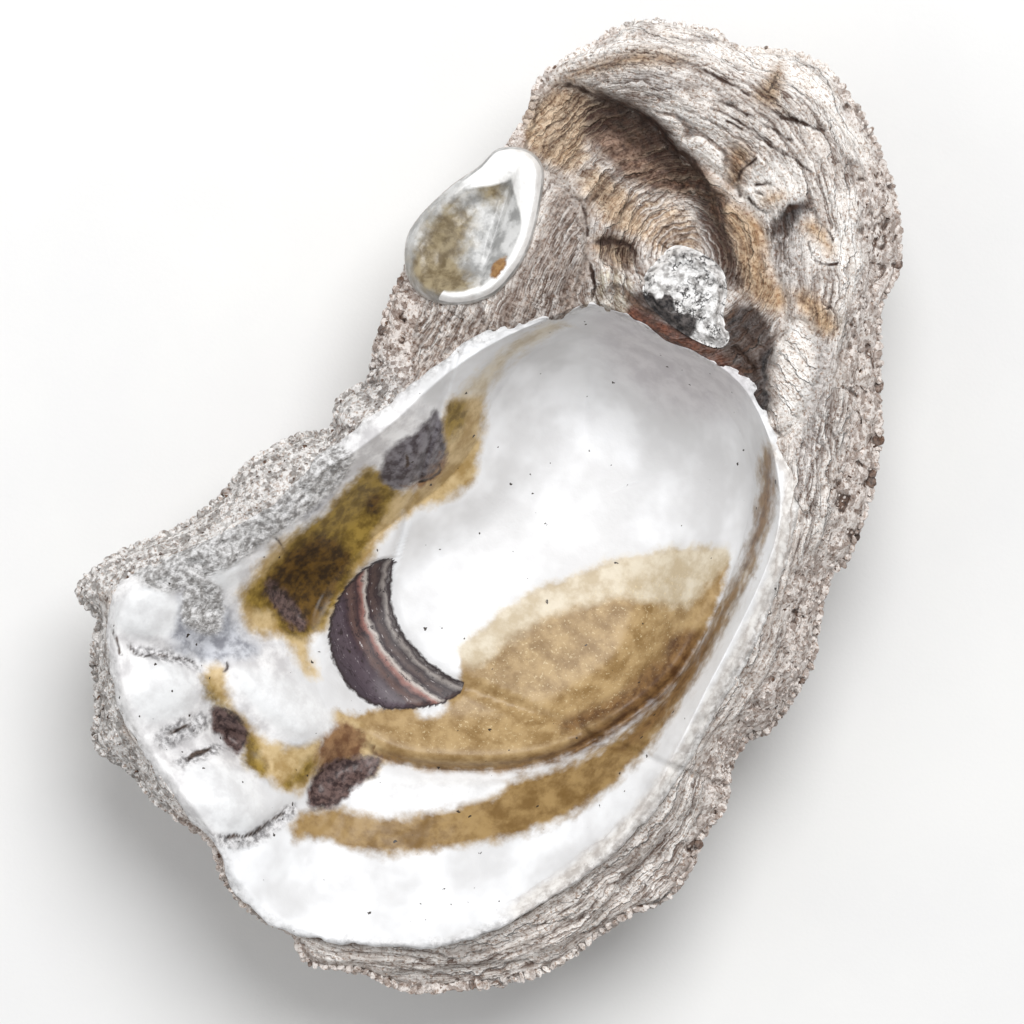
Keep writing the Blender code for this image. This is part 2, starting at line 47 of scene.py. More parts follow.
# A smooth line through drawn points. Values after x and y are carried along it.
class DrawnLine:
    spacing = 0.4

    def __init__(self, points, closed=False, smooth=True):
        knots = np.array(points, float)
        if smooth and closed:
            knots = np.vstack([knots[-1], knots, knots[:2]])
        elif smooth:
            knots = np.vstack([2 * knots[0] - knots[1], knots, 2 * knots[-1] - knots[-2]])
        stretches = [] if smooth else [knots]
        for before, start, end, after in zip(knots, knots[1:], knots[2:], knots[3:]) if smooth else ():
            count = max(2, int(np.linalg.norm(end[:2] - start[:2]) / self.spacing))
            t = np.arange(count)[:, None] / count
            bend = 2 * before - 5 * start + 4 * end - after
            twist = 3 * (start - end) + after - before
            stretches.append(start + 0.5 * t * (end - before + t * (bend + t * twist)))
        line = np.vstack(stretches)
        self.points, self.carried, self.closed = line[:, :2], line[:, 2:], closed
        ahead = np.roll(self.points, -1, axis=0) - np.roll(self.points, 1, axis=0)
        if not closed:
            ahead[0] = self.points[1] - self.points[0]
            ahead[-1] = self.points[-1] - self.points[-2]
        self.ahead = ahead / np.linalg.norm(ahead, axis=1, keepdims=True)

    # Signed distance, positive on the line's right-hand side, what is carried there, and the way along
    def measure(self, x, y):
        samples = self.points.astype(np.float32)
        squares = (samples**2).sum(axis=1)
        near = np.empty(len(x), int)
        for first in range(0, len(x), 16000):
            part = slice(first, first + 16000)
            own = np.stack([x[part], y[part]], axis=1).astype(np.float32)
            near[part] = np.argmin(squares - 2 * own @ samples.T, axis=1)
        offset, ahead = np.stack([x, y], axis=1) - self.points[near], self.ahead[near]
        side = offset[:, 0] * ahead[:, 1] - offset[:, 1] * ahead[:, 0]
        onward = np.clip((offset * ahead).sum(axis=1) / self.spacing, -1.0, 1.0)
        distance = np.hypot(offset[:, 0], offset[:, 1]) * np.where(side < 0, -1, 1)
        inner = self.closed | ((near > 0) & (near < len(self.points) - 1))
        distance = np.where(inner & (np.abs(side) > 2 * self.spacing), distance, side)
        beside = near + np.sign(onward).astype(int)
        beside = beside % len(samples) if self.closed else np.clip(beside, 0, len(samples) - 1)
        share = np.abs(onward)[:, None]
        carried = self.carried[near] * (1 - share) + self.carried[beside] * share
        return distance, carried.T, (near + onward) * self.spacing

    # Distance from the pole to a closed line, along each bearing
    def reach(self, bearings, pole):
        offset = self.points - pole
        order = np.argsort(np.arctan2(offset[:, 1], offset[:, 0]))
        offset = offset[order]
        own = np.arctan2(offset[:, 1], offset[:, 0])
        return np.interp(bearings, own, np.hypot(*offset.T), period=2 * math.pi)


# Smooth noise from -1 to 1 that repeats exactly each run, with bumps about as wide as size
def latticeNoise(x, y, size, seed):
    def corner(column, row):
        mixed = (column * 374761393 + row * 668265263 + seed * 974634777) & 0x7FFFFFFF
        mixed = ((mixed ^ (mixed >> 13)) * 1274126177) & 0x7FFFFFFF
        return ((mixed ^ (mixed >> 16)) & 0xFFFF) / 32767.5 - 1

    x, y = x / size, y / size
    column, row = np.floor(x).astype(np.int64), np.floor(y).astype(np.int64)
    u, v = ease(x - column), ease(y - row)
    low = corner(column, row) * (1 - u) + corner(column + 1, row) * u
    high = corner(column, row + 1) * (1 - u) + corner(column + 1, row + 1) * u
    return low * (1 - v) + high * v


def fractal(x, y, size, octaves, seed):
    total, weight, weights = 0.0, 1.0, 0.0
    for octave in range(octaves):
        total = total + weight * latticeNoise(x, y, size * 0.47**octave, seed + 31 * octave)
        weights += weight
        weight *= 0.55
    return total / weights


# Sharp crests with rounded valleys between them, from 0 to 1
def ridged(x, y, size, octaves, seed):
    return 1 - np.abs(fractal(x, y, size, octaves, seed)) * 2.2


# Overlapping growth layers: each slopes up along the growth and drops at its ragged edge.
# Gives their height and where dirt and painted shade darken under each edge.
def shingles(growth, along, pitch, seed):
    broad, fine = latticeNoise(along, growth, 11.0, seed), latticeNoise(along, growth, 3.0, seed + 1)
    part = np.mod(growth / pitch + (0.8 * broad + 0.3 * fine), 1.0)
    strength = 0.55 + 0.45 * latticeNoise(along, growth, 6.0, seed + 2)
    seam = np.exp(-((np.minimum(part, 1 - part) / 0.11) ** 2))
    return strength * ease(part / 0.75) * (1 - ease((part - 0.75) / 0.25)), strength * seam


def swell(x, y, shape):
    centreX, centreY, alongRadius, acrossRadius, turn, height = shape
    angle = math.radians(turn)
    along = (x - centreX) * math.cos(angle) + (y - centreY) * math.sin(angle)
    across = (y - centreY) * math.cos(angle) - (x - centreX) * math.sin(angle)
    return height * np.exp(-1.2 * ((along / alongRadius) ** 2 + (across / acrossRadius) ** 2))


# Distance inside a closed patch, in millimetres, and minus the margin when further out than that
def inPatch(x, y, points, margin=6.0):
    points = np.array(points, float)
    turned = np.roll(points, -1, axis=0)
    if (points[:, 0] * turned[:, 1] - points[:, 1] * turned[:, 0]).sum() > 0:
        points = points[::-1]
    low, high = points.min(axis=0) - margin, points.max(axis=0) + margin
    near = (x > low[0]) & (x < high[0]) & (y > low[1]) & (y < high[1])
    inside = np.full(len(x), -margin)
    if near.any():
        inside[near] = np.maximum(DrawnLine(points, closed=True).measure(x[near], y[near])[0], -margin)
    return inside


def inPatches(x, y, patches, margin=6.0):
    return np.max([inPatch(x, y, points, margin) for points in patches], axis=0)


# How strongly a point lies in one of the drawn dark lines, from 0 to 1: cracks, holes, and painted shadow
# lines along the hood's lip. Each has a width and its points.
def inDarkLines(x, y, darkLines):
    strength = np.zeros(len(x))
    for width, points in darkLines:
        points = np.array(points, float)
        low, high = points.min(axis=0) - 3 * width, points.max(axis=0) + 3 * width
        near = (x > low[0]) & (x < high[0]) & (y > low[1]) & (y < high[1])
        if not near.any():
            continue
        line = DrawnLine(points)
        side, _, along = line.measure(x[near], y[near])
        length = len(line.points) * line.spacing
        side = side + 0.9 * width * fractal(x[near], y[near], 1.1, 3, 51)
        away = np.hypot(side, np.maximum(0.0, np.maximum(-along, along - length)))
        fade = ease(along / (3 * width)) * ease((length - along) / (3 * width))
        fade = fade * (0.75 + 0.4 * fractal(x[near], y[near], 2.0, 2, 53))
        strength[near] = np.maximum(strength[near], fade * np.exp(-((away / width) ** 2)))
    return strength


# The shell's driving lines, as in its model
shell = {
    "deepestLevel": 8.5,
    "floorClimb": 5.5,
    "edgeThickness": 3.6,
    "pole": (2.0, -5.0),
    "growthSteps": 5,
    "stepFlat": 0.7,
    "lowerHollow": 1.2,
    "crags": ((9.0, 0.9), (4.0, 0.6)),
    "lowerLumps": ((14.0, 1.1), (7.0, 0.5)),
    "highest": 33.5,
    "plateStep": 0.5,
}

scarLine = DrawnLine([(2, 12.5), (8.5, 9), (12.5, 1), (13, -8), (10, -16.5), (3.5, -21.5), (-4, -20),
    (-8.5, -13), (-9, -4), (-6, 6)], closed=True)

# The valve's edge, clockwise from the beak: x, y and the level of its upper side
outline = DrawnLine([(5, 65, 25.5), (12, 62.7, 25.5), (16, 60.3, 25.5), (20.5, 56.4, 25.5), (25, 51, 25),
    (26.8, 47, 24.5), (27, 43, 26.5), (29.5, 37.8, 26), (32.5, 33, 25.5), (35.5, 27.5, 25),
    (37.5, 22.5, 24.5), (39, 16.5, 24), (39.3, 12, 23.5), (38.6, 9.8, 23), (40.3, 4, 22.5), (42, -0.5, 22),
    (42.3, -5, 22), (41.8, -10.5, 22), (40, -13, 22.5), (39.7, -17, 23), (41.5, -22, 23.5), (41.2, -27, 24),
    (41.9, -31.5, 24.5), (41, -36, 25), (38, -39.8, 25.5), (35.6, -45, 23.5), (33, -50.5, 23.5),
    (29, -55, 24), (24, -58.8, 24), (18.8, -62, 24), (12.5, -62.9, 25), (6.3, -65.3, 25.5), (2.5, -63, 27),
    (-3, -63, 27.5), (-8.5, -61, 27.5), (-12, -58, 27.5), (-20, -57.3, 26.5), (-25.5, -55.6, 25.5),
    (-30.5, -55, 24.5), (-33.2, -50, 24.5), (-36.7, -45, 24.5), (-38.5, -40.8, 24.5), (-42, -39.6, 24.5),
    (-41.9, -36.6, 24.5), (-39.3, -31.6, 24.5), (-34.8, -25.6, 24.5), (-32.6, -20, 24.5),
    (-31.4, -14.5, 25), (-28, -8.6, 24.5), (-24.8, -5.8, 24.5), (-25.6, -1.6, 24), (-23.7, 2, 24),
    (-25.2, 7, 23.5), (-26.4, 13, 23.5), (-26.8, 20, 23.5), (-25.8, 27, 24), (-23.8, 34, 24.5),
    (-23, 40, 25.5), (-23.7, 46, 25.5), (-20.6, 52.4, 25.5), (-17, 58, 25.5), (-12, 60.2, 25.5),
    (-8.5, 61.5, 25.5), (-4.5, 61.4, 25.5), (0, 63.6, 25.5)], closed=True)

# The rim's crest, clockwise from the hinge: x, y, level, and how long the outside stays level
crest = DrawnLine([(-4.6, 24.4, 28.8, 2.2), (0, 25.5, 29, 3), (6, 25.7, 29.2, 3), (12, 25.8, 29.2, 3),
    (17, 25, 29.8, 2.6), (21.3, 22.6, 30.8, 2), (25, 19.3, 31.6, 1.6), (28.4, 15, 32.2, 1.3),
    (30.5, 10, 32.6, 1.2), (31.5, 4, 32.8, 1.2), (32, -3, 32.8, 1.2), (32.3, -10, 32.6, 1.2),
    (32.8, -18, 32.2, 1.3), (33, -25, 31.6, 1.3), (32.2, -32, 30.6, 1.2), (30.2, -39, 29.4, 1.2),
    (27, -46, 28.4, 1.2), (23.5, -50.8, 27.8, 1.2), (18.5, -55.3, 27.4, 1.2), (12, -59, 27.2, 1.2),
    (5, -61.7, 27.2, 1.2), (-2, -62, 27.6, 1.2), (-8, -60, 28.6, 1.2), (-13.5, -56.7, 29.6, 1.2),
    (-20, -53.8, 30.2, 1.2), (-27, -50.2, 30.6, 1.2), (-32, -46, 30.8, 1.2), (-35.6, -41, 30.8, 1.2),
    (-36.4, -36, 30.6, 1.2), (-34, -31, 30.6, 1.3), (-31, -26.5, 30.6, 1.3), (-28.5, -22, 30.4, 1.3),
    (-26, -17, 30.2, 1.3), (-23.5, -11, 30, 1.3), (-20.5, -5.5, 29.8, 1.3), (-18.3, 0, 29.6, 1.3),
    (-16.8, 5, 29.4, 1.4), (-14.8, 10, 29.2, 1.5), (-12, 15, 29, 1.6),
    (-8.5, 19.8, 28.8, 1.8)], closed=True)

# The fold between floor and wall: x, y, level, how far in the floor curves down, the wall's hollow
fold = DrawnLine([(-2.5, 21.5, 21, 8, 1), (3, 22.6, 21, 8.5, 1), (9, 22.9, 21, 9, 1),
    (15, 22.2, 21, 9.5, 1), (20, 20, 21.5, 10, 1), (23.6, 16.6, 22, 10.5, 1), (26, 12, 22, 11, 0.9),
    (27.6, 6, 21.5, 11, 0.9), (28.6, 0, 20.5, 11, 0.8), (29, -6, 19, 10, 0.8), (28.7, -11, 19, 9, 0.8),
    (27.4, -15.5, 17.8, 8, 0.8), (25.4, -20, 17.8, 8, 0.9), (22.8, -24.6, 17, 8, 0.9),
    (19.3, -29, 16.5, 8, 1), (14.5, -32.8, 16.2, 8, 1.1), (9, -35.9, 16.2, 8, 1.2), (4, -38, 16.4, 8, 1.2),
    (-1.5, -38.6, 17, 8, 1.2), (-7, -37, 18, 8, 1.1), (-12, -33, 18.5, 8, 1), (-15.2, -28, 18.5, 8, 0.9),
    (-15.6, -22, 18.5, 8, 0.9), (-14, -16, 18, 8, 0.9), (-11.6, -10, 17, 8, 0.9),
    (-9.2, -4, 15.5, 8.5, 0.9), (-8.4, 2, 16, 9, 0.9), (-9, 8, 17, 9, 1), (-8.4, 13.5, 18.5, 8.5, 1),
    (-6.2, 18, 20, 8, 1)], closed=True)

# How far the floor's edge stands up along the fold
roll = DrawnLine([(26, 12, 0), (27.6, 6, 0.4), (28.6, 0, 0.8), (29, -6, 1.2), (28.7, -11, 1.5),
    (27.4, -15.5, 1.7), (25.4, -20, 1.8), (22.8, -24.6, 1.8), (19.3, -29, 1.8), (14.5, -32.8, 1.9),
    (9, -35.9, 1.9), (4, -38, 1.5), (-1.5, -38.6, 0.8), (-7, -37, 0)])
hoodLine = DrawnLine([(-23, 47, 2), (-19.5, 51.5, 3.5), (-14, 54.8, 5), (-7, 56.6, 6.2), (1, 56.6, 6.8),
    (8, 54.8, 6.6), (13.5, 50.5, 6), (18, 44.5, 5.2), (21.5, 38, 4.2), (24.5, 31, 3), (27, 24, 1.5),
    (29.5, 16, 0)])
lip = DrawnLine([(-22.5, 46.2, 0.8), (-18, 47.6, 1.8), (-14, 48.4, 2.6), (-9, 48.4, 2.8), (-5.5, 47, 2.6),
    (-2, 46, 2.2), (1, 44.5, 1.8), (4, 41.5, 1.4), (7, 38.7, 0.8), (10, 36.4, 0.2)])
groove = DrawnLine([(-19, 42), (-12, 43), (-5, 41), (0, 37), (5, 32)])

# Edges of the growth layers outside the rim, counter-clockwise: x, y and the step down
plates = [DrawnLine(points) for points in (
    [(0, -63.5, 0), (3.5, -62.6, 1.2), (10, -60.3, 1.6), (15, -57.8, 1.6), (19, -55, 1.8), (22, -51.8, 1.8),
     (25, -49, 1.8), (27.5, -45.2, 1.8), (30, -40, 1.6), (32.4, -34.5, 1.2), (33.6, -28, 0.8),
     (34.5, -20, 0.4), (34, -12, 0)],
    [(14, -62.5, 0), (16.5, -61, 1.2), (20.5, -58.3, 1.6), (25, -54.8, 1.6), (29, -52, 1.6),
     (32, -48.5, 1.6), (34.2, -44.5, 1.6), (35, -39, 1.4), (36.3, -31, 1.2), (38.3, -23, 0.6),
     (38, -15, 0)],
    [(37.3, -16, 0), (38.2, -8, 0.8), (36.8, 4, 1), (35.6, 14, 1.1), (33.4, 23, 1.2), (30, 31, 1.3),
     (26.2, 39, 1.3), (23.4, 47, 1.4), (19.4, 53.5, 1.5), (13.6, 58.4, 1.5), (6, 61.2, 1.5),
     (-3, 59.4, 1.4), (-10.5, 58.2, 1.3), (-17, 54.8, 1.1), (-21.5, 50, 0)],
)]

# The muscle's mark: its inner arc, and the crescent's width there
muscle = DrawnLine([(-9.8, -15.6, 0.5), (-9.2, -18, 4), (-7.6, -20.8, 7.5), (-5, -23.2, 9.5),
    (-1, -24.8, 9), (3, -25.4, 5), (6.4, -25, 0.5)])

# Mounds and hollows of cup and rim: centre x and y, radii along and across, turn, height
swells = [(-33, -36.5, 5.5, 4, 0, 1.8), (-27, -44.3, 5.5, 4.3, 35, 2.2), (-12.5, -52.6, 6.5, 4, -10, 2.4),
    (-28, -28, 5, 4, 60, 1.5), (-24, -20, 5, 2.6, 65, 1.2), (-13, -38.8, 9.5, 4.2, -8, 3),
    (-13.6, -3.5, 5.5, 3.2, 75, 1.6), (-21.5, -2, 4, 3.5, 0, 1.2), (39.5, -5, 7, 2.6, 90, 1.6),
    (5.5, 61, 6, 3, 0, 1.2), (-11, 27.5, 6.5, 4.6, 70, 1.8), (7.6, 47.2, 3.6, 2.8, 0, 0.9),
    (-18, -25, 6, 4.6, 60, -3.4), (-16.5, -12.5, 6.5, 2.8, 80, -1.8), (-16.8, -46, 4.2, 2, -15, -2.8),
    (-3, -43.5, 5.6, 2.8, 70, -2), (-24.5, -37.5, 3.6, 2.6, 60, -1.6), (-30, -40.6, 5, 1.2, 10, -1.2),
    (-20.5, -49.5, 4.2, 1.6, 40, -1.4), (-6.8, -53.5, 5, 1.4, 65, -1.4), (-5.2, 31, 2.6, 1.8, -35, -1.4),
    (2, 60.3, 3, 1.3, 60, -1.2)]

# Where the nacre ends, clockwise from the hinge
liningEdge = DrawnLine([(-4.6, 24.4), (0, 25.3), (6, 25.3), (12, 25.8), (16, 26.3), (19.5, 24.9),
    (22, 23.2), (24.5, 21.2), (27, 20), (29, 18.5), (31, 14.5), (32.6, 10), (33.8, 4.5), (34.4, -2),
    (34.6, -9), (34.8, -16), (34.6, -22), (34.2, -27), (33, -32), (31.5, -36), (30, -40), (28.4, -43),
    (27, -45.8), (25, -48.8), (23, -51.4), (20.4, -54), (18, -56.3), (15, -57.9), (12, -59.4), (8, -61.4),
    (4.2, -62.6), (0, -63.3), (-3, -63), (-6, -62), (-8, -61), (-9.5, -59.6), (-11, -58.2), (-14, -57.3),
    (-18, -55.9), (-22, -54), (-26, -52), (-29, -50), (-31.5, -48), (-34, -45), (-36.3, -42),
    (-37.6, -39.6), (-38.2, -36), (-36.6, -32.4), (-33.6, -28.6), (-30.8, -24.8), (-28.4, -21),
    (-26.3, -17.2), (-25, -13), (-24, -8.5), (-22, -4), (-20.5, 0), (-18.8, 4), (-17.2, 8), (-15.3, 12),
    (-12.8, 16), (-9.5, 19.5), (-6.5, 21.8)], closed=True)

# The line that the outer growth layers run beside
growthLine = DrawnLine([(-23, 47), (-19.5, 51.5), (-14, 54.8), (-7, 56.6), (1, 56.6), (8, 54.8),
    (13.5, 50.5), (18, 44.5), (21.5, 38), (24.5, 31), (27.5, 24), (31, 16), (34.5, 8), (36.5, 0), (37, -8),
    (36.5, -16), (37, -24), (36.5, -32), (33.5, -40), (30, -47), (24.5, -54), (16, -60), (6, -63),
    (-4, -62), (-14, -57.5), (-24, -54), (-32, -48.5), (-37.5, -41), (-38, -35), (-34, -29), (-31, -22),
    (-28.5, -14), (-24.5, -6), (-21.5, 1), (-20.5, 8), (-20.5, 14), (-22, 22), (-22.5, 30),
    (-22, 38)], closed=True)

# Where layers run round a centre instead: the old beak, and the swirl beside the hinge
roundZones = [
    ((3, 35.5), [(-23.5, 46), (-18, 47.6), (-14, 48.4), (-9, 48.2), (-5.5, 47), (-2, 46.4), (2, 46.2),
                 (6, 45.2), (10, 42.6), (13, 39.8), (16, 36.8), (18.5, 33), (18, 29), (21, 24), (10, 22),
                 (-5, 20), (-8, 30), (-14, 35.5), (-24.5, 37)]),
    ((17.5, 17), [(18.8, 35.2), (22, 35), (24.6, 32.6), (25.6, 28), (25.4, 24), (23.6, 21.4), (21.6, 23.4),
                  (20, 26), (18.8, 30)]),
]


def between(near, far):
    near, far = np.maximum(near, 0.0), np.maximum(far, 0.0)
    return near / (near + far + 0.001)


# The height of what shows from above: cup, rim, hinge, hood and outer layers
def upperFace(x, y):
    inFold, (foldLevel, run, hollow), _ = fold.measure(x, y)
    inCrest, (crestLevel, shelf), _ = crest.measure(x, y)
    toEdge, (edgeLevel,), _ = outline.measure(x, y)
    deepest = shell["deepestLevel"] + shell["floorClimb"] * ease((18.0 - y) / 52.0)
    bowl = ease((y + 8.0) / 14.0)      # towards the hinge the floor sweeps up without a fold
    profile = (1 - ease(inFold / run)) ** 1.2 * (1 - bowl)
    profile = profile + np.clip(1 - inFold / (1.7 * run), 0.0, 1.0) ** 2.3 * bowl
    floorHeight = deepest + (foldLevel - deepest) * profile
    wall = foldLevel + (crestLevel - foldLevel) * between(-inFold, inCrest) ** hollow
    flank = crestLevel + (edgeLevel - crestLevel) * between(-inCrest, toEdge) ** shelf
    height = np.where(inFold > 0, floorHeight, np.where(inCrest > 0, wall, flank))
    across, (crown,), _ = hoodLine.measure(x, y)
    below, (lipHeight,), _ = lip.measure(x, y)
    trough, _, _ = groove.measure(x, y)
    hood = crown * np.exp(-((across / 6.5) ** 2)) - 2.2 * np.exp(-((trough / 5.0) ** 2))
    ragged = below + 0.35 * fractal(x, y, 2.6, 3, 71)
    hood += 0.65 * lipHeight * (1 - 2 * ease(0.5 + ragged / 0.9)) * ease(1.2 - np.abs(below) / 12.0)
    height += hood * ease((y - 22.0) / 8.0) * ease(-inCrest / 3.0)
    inward, (size,), _ = roll.measure(x, y)
    shoulder = ease(inward / 1.5) * np.exp(-((np.maximum(inward - 1.5, 0.0) / 4.5) ** 2))
    height += size * (shoulder - 0.4 * np.exp(-((inward / 1.5) ** 2)))
    for number, plate in enumerate(plates):
        outward, (step,), along = plate.measure(x, y)
        outward = outward + 0.35 * fractal(x, y, 3.0, 3, 40 + number)
        height -= step * ease(0.5 + outward / shell["plateStep"]) * ease(2.0 - np.abs(outward) / 4.0)
    outward, (width,), _ = muscle.measure(x, y)
    height -= 0.8 * ease(outward / 0.7 + 0.5) * ease((width - outward) / 1.2 + 0.5)
    for shape in swells:
        height += swell(x, y, shape)
    for seed, (size, amount) in enumerate(shell["crags"]):
        height += amount * latticeNoise(x, y, size, seed) * ease(-inCrest / 4.0)
    return height, toEdge, -inCrest


# The rounded outer side: flat on its scar, then climbing in growth steps to the edge
def lowerFace(x, y):
    pole = shell["pole"]
    bearings, away = np.arctan2(y - pole[1], x - pole[0]), np.hypot(x - pole[0], y - pole[1])
    scar, edge = scarLine.reach(bearings, pole), outline.reach(bearings, pole)
    share = np.clip((away - scar) / (edge - scar), 0.0, 1.0)
    _, (edgeLevel,), _ = outline.measure(x, y)
    step, part = np.divmod(shell["growthSteps"] * share, 1.0)
    terrace = (step + ease((part - shell["stepFlat"]) / (1.0 - shell["stepFlat"]))) / shell["growthSteps"]
    climb = (0.35 * share + 0.65 * terrace) ** shell["lowerHollow"]
    height = (edgeLevel - shell["edgeThickness"]) * climb
    for seed, (size, amount) in enumerate(shell["lowerLumps"]):
        lump = latticeNoise(x, y, size, 20 + seed)
        height += amount * lump * ease((away - scar) / 8.0) * (1 - share)
    return np.maximum(height, 0.0), away - scar


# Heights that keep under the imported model's top
def settled(height):
    return height - 0.75 * np.maximum(height - shell["highest"], 0.0)


# Which way the growth layers run: millimetres across them and along them
def growthCoordinates(x, y):
    across, _, along = growthLine.measure(x, y)
    across, rounded, calm = -across, 0.0, 0.0
    for (centreX, centreY), points in roundZones:
        bearing = np.arctan2(x - centreX, y - centreY)
        inside = inPatch(x, y, points, 3.0)
        share = ease(0.5 + inside / 0.4)
        calm = np.maximum(calm, np.exp(-((inside / 0.6) ** 2)))
        across = across * (1 - share) - (np.hypot(x - centreX, y - centreY) + 3.0) * share
        along = along * (1 - share) + bearing * 12.0 * share
        rounded = np.maximum(rounded, share)
    return across + 0.7 * fractal(x, y, 9.0, 2, 63) + 0.22 * fractal(x, y, 2.6, 3, 64), along, rounded, calm


# Bearings that cut the outer line into nearly even lengths, closer together where weight asks
def spreadBearings(pole, outer, around, weight=None):
    even = np.linspace(-math.pi, math.pi, 2881)
    radius = outer.reach(even, pole)
    steps = np.hypot(np.diff(radius), radius[1:] * np.diff(even))
    if weight is not None:
        steps *= weight(pole[0] + radius[1:] * np.cos(even[1:]), pole[1] + radius[1:] * np.sin(even[1:]))
    length = np.concatenate([[0.0], np.cumsum(steps)])
    mixed = 0.85 * length / length[-1] + 0.15 * np.linspace(0.0, 1.0, len(length))
    return np.interp(np.arange(around) / around, mixed, even)


# Rings of plan points from the pole through each span's closed line: (rings, around, 2)
def planRings(pole, bearings, spans):
    rings, start = [], np.zeros(len(bearings))
    for line, shares in spans:
        end = line.reach(bearings, pole)
        rings += [start + (end - start) * share for share in shares]
        start = end
    radius = np.array(rings)[:, :, None]
    return np.array(pole) + radius * np.stack([np.cos(bearings), np.sin(bearings)], axis=1)


def evenShares(count):
    return np.linspace(0.0, 1.0, count + 1)[1:]


# Rings from the middle of a closed line out to it: the middle, their shape, and the points' x and y
def discPlan(line, around, count):
    pole = line.points.mean(axis=0)
    plan = planRings(pole, spreadBearings(pole, line, around), [(line, evenShares(count))])
    return pole, plan.shape[:2], plan.reshape(-1, 2).T


# The way outwards from the pole at each point of a ring
def outwardFrom(pole, ring):
    out = ring - pole
    return out / np.linalg.norm(out, axis=1, keepdims=True)


# Which ring each later ring takes its attributes from: a wall's from the outermost, then the picked ones
def ringOrder(count, walls, picked):
    return np.concatenate([np.arange(count), np.full(walls, count - 1), picked]).astype(int)


def addObject(name, data):
    made = bpy.data.objects.new(name, data)
    bpy.context.scene.collection.objects.link(made)
    return made


def setAttribute(mesh, name, values):
    mesh.attributes.new(name, "FLOAT", "POINT").data.foreach_set("value", values.astype(np.float32))


# One closed body from rings of points (rings, around, 3), each end closed on the middle of its ring
def ringBody(name, rings, attributes, material):
    count, around = rings.shape[:2]
    points = np.vstack([rings.reshape(-1, 3), rings[0].mean(axis=0), rings[-1].mean(axis=0)])
    place = np.arange(around)
    after = (place + 1) % around
    inner = (np.arange(count - 1) * around)[:, None]
    quads = np.stack([inner + place, inner + around + place, inner + around + after, inner + after], axis=2)
    top, bottom = count * around, count * around + 1
    faces = quads.reshape(-1, 4).tolist()
    faces += [(top, a, b) for a, b in zip(place.tolist(), after.tolist())]
    last = (count - 1) * around
    faces += [(bottom, last + b, last + a) for a, b in zip(place.tolist(), after.tolist())]
    mesh = bpy.data.meshes.new(name)
    mesh.from_pydata((points * mm).tolist(), [], faces)
    for key, values in attributes.items():
        values = np.concatenate([values.ravel(), [values[0].mean(), values[-1].mean()]])
        setAttribute(mesh, key, values)
    mesh.shade_smooth()
    mesh.materials.append(material)
    print("made", name, len(faces), "faces")
    return addObject(name, mesh)


# A colour as it is seen, from 0 to 255, in the renderer's own units
def tone(red, green, blue):
    seen = [level / 255 for level in (red, green, blue)]
    return [((level + 0.055) / 1.055) ** 2.4 if level > 0.04 else level / 12.92 for level in seen] + [1.0]


# A node tree under construction. Sockets given as inputs are linked, and other values are set.
class Tree:
    def node(self, kind, inputs=None, **settings):
        made = self.tree.nodes.new(kind)
        for key, value in settings.items():
            setattr(made, key, value)
        for key, value in (inputs or {}).items():
            if isinstance(value, bpy.types.NodeSocket):
                self.tree.links.new(value, made.inputs[key])
            else:
                made.inputs[key].default_value = value
        return made

    def calc(self, operation, first, second=0.0, third=0.0):
        return self.node("ShaderNodeMath", {0: first, 1: second, 2: third}, operation=operation).outputs[0]

    def times(self, first, second):
        return self.calc("MULTIPLY", first, second)


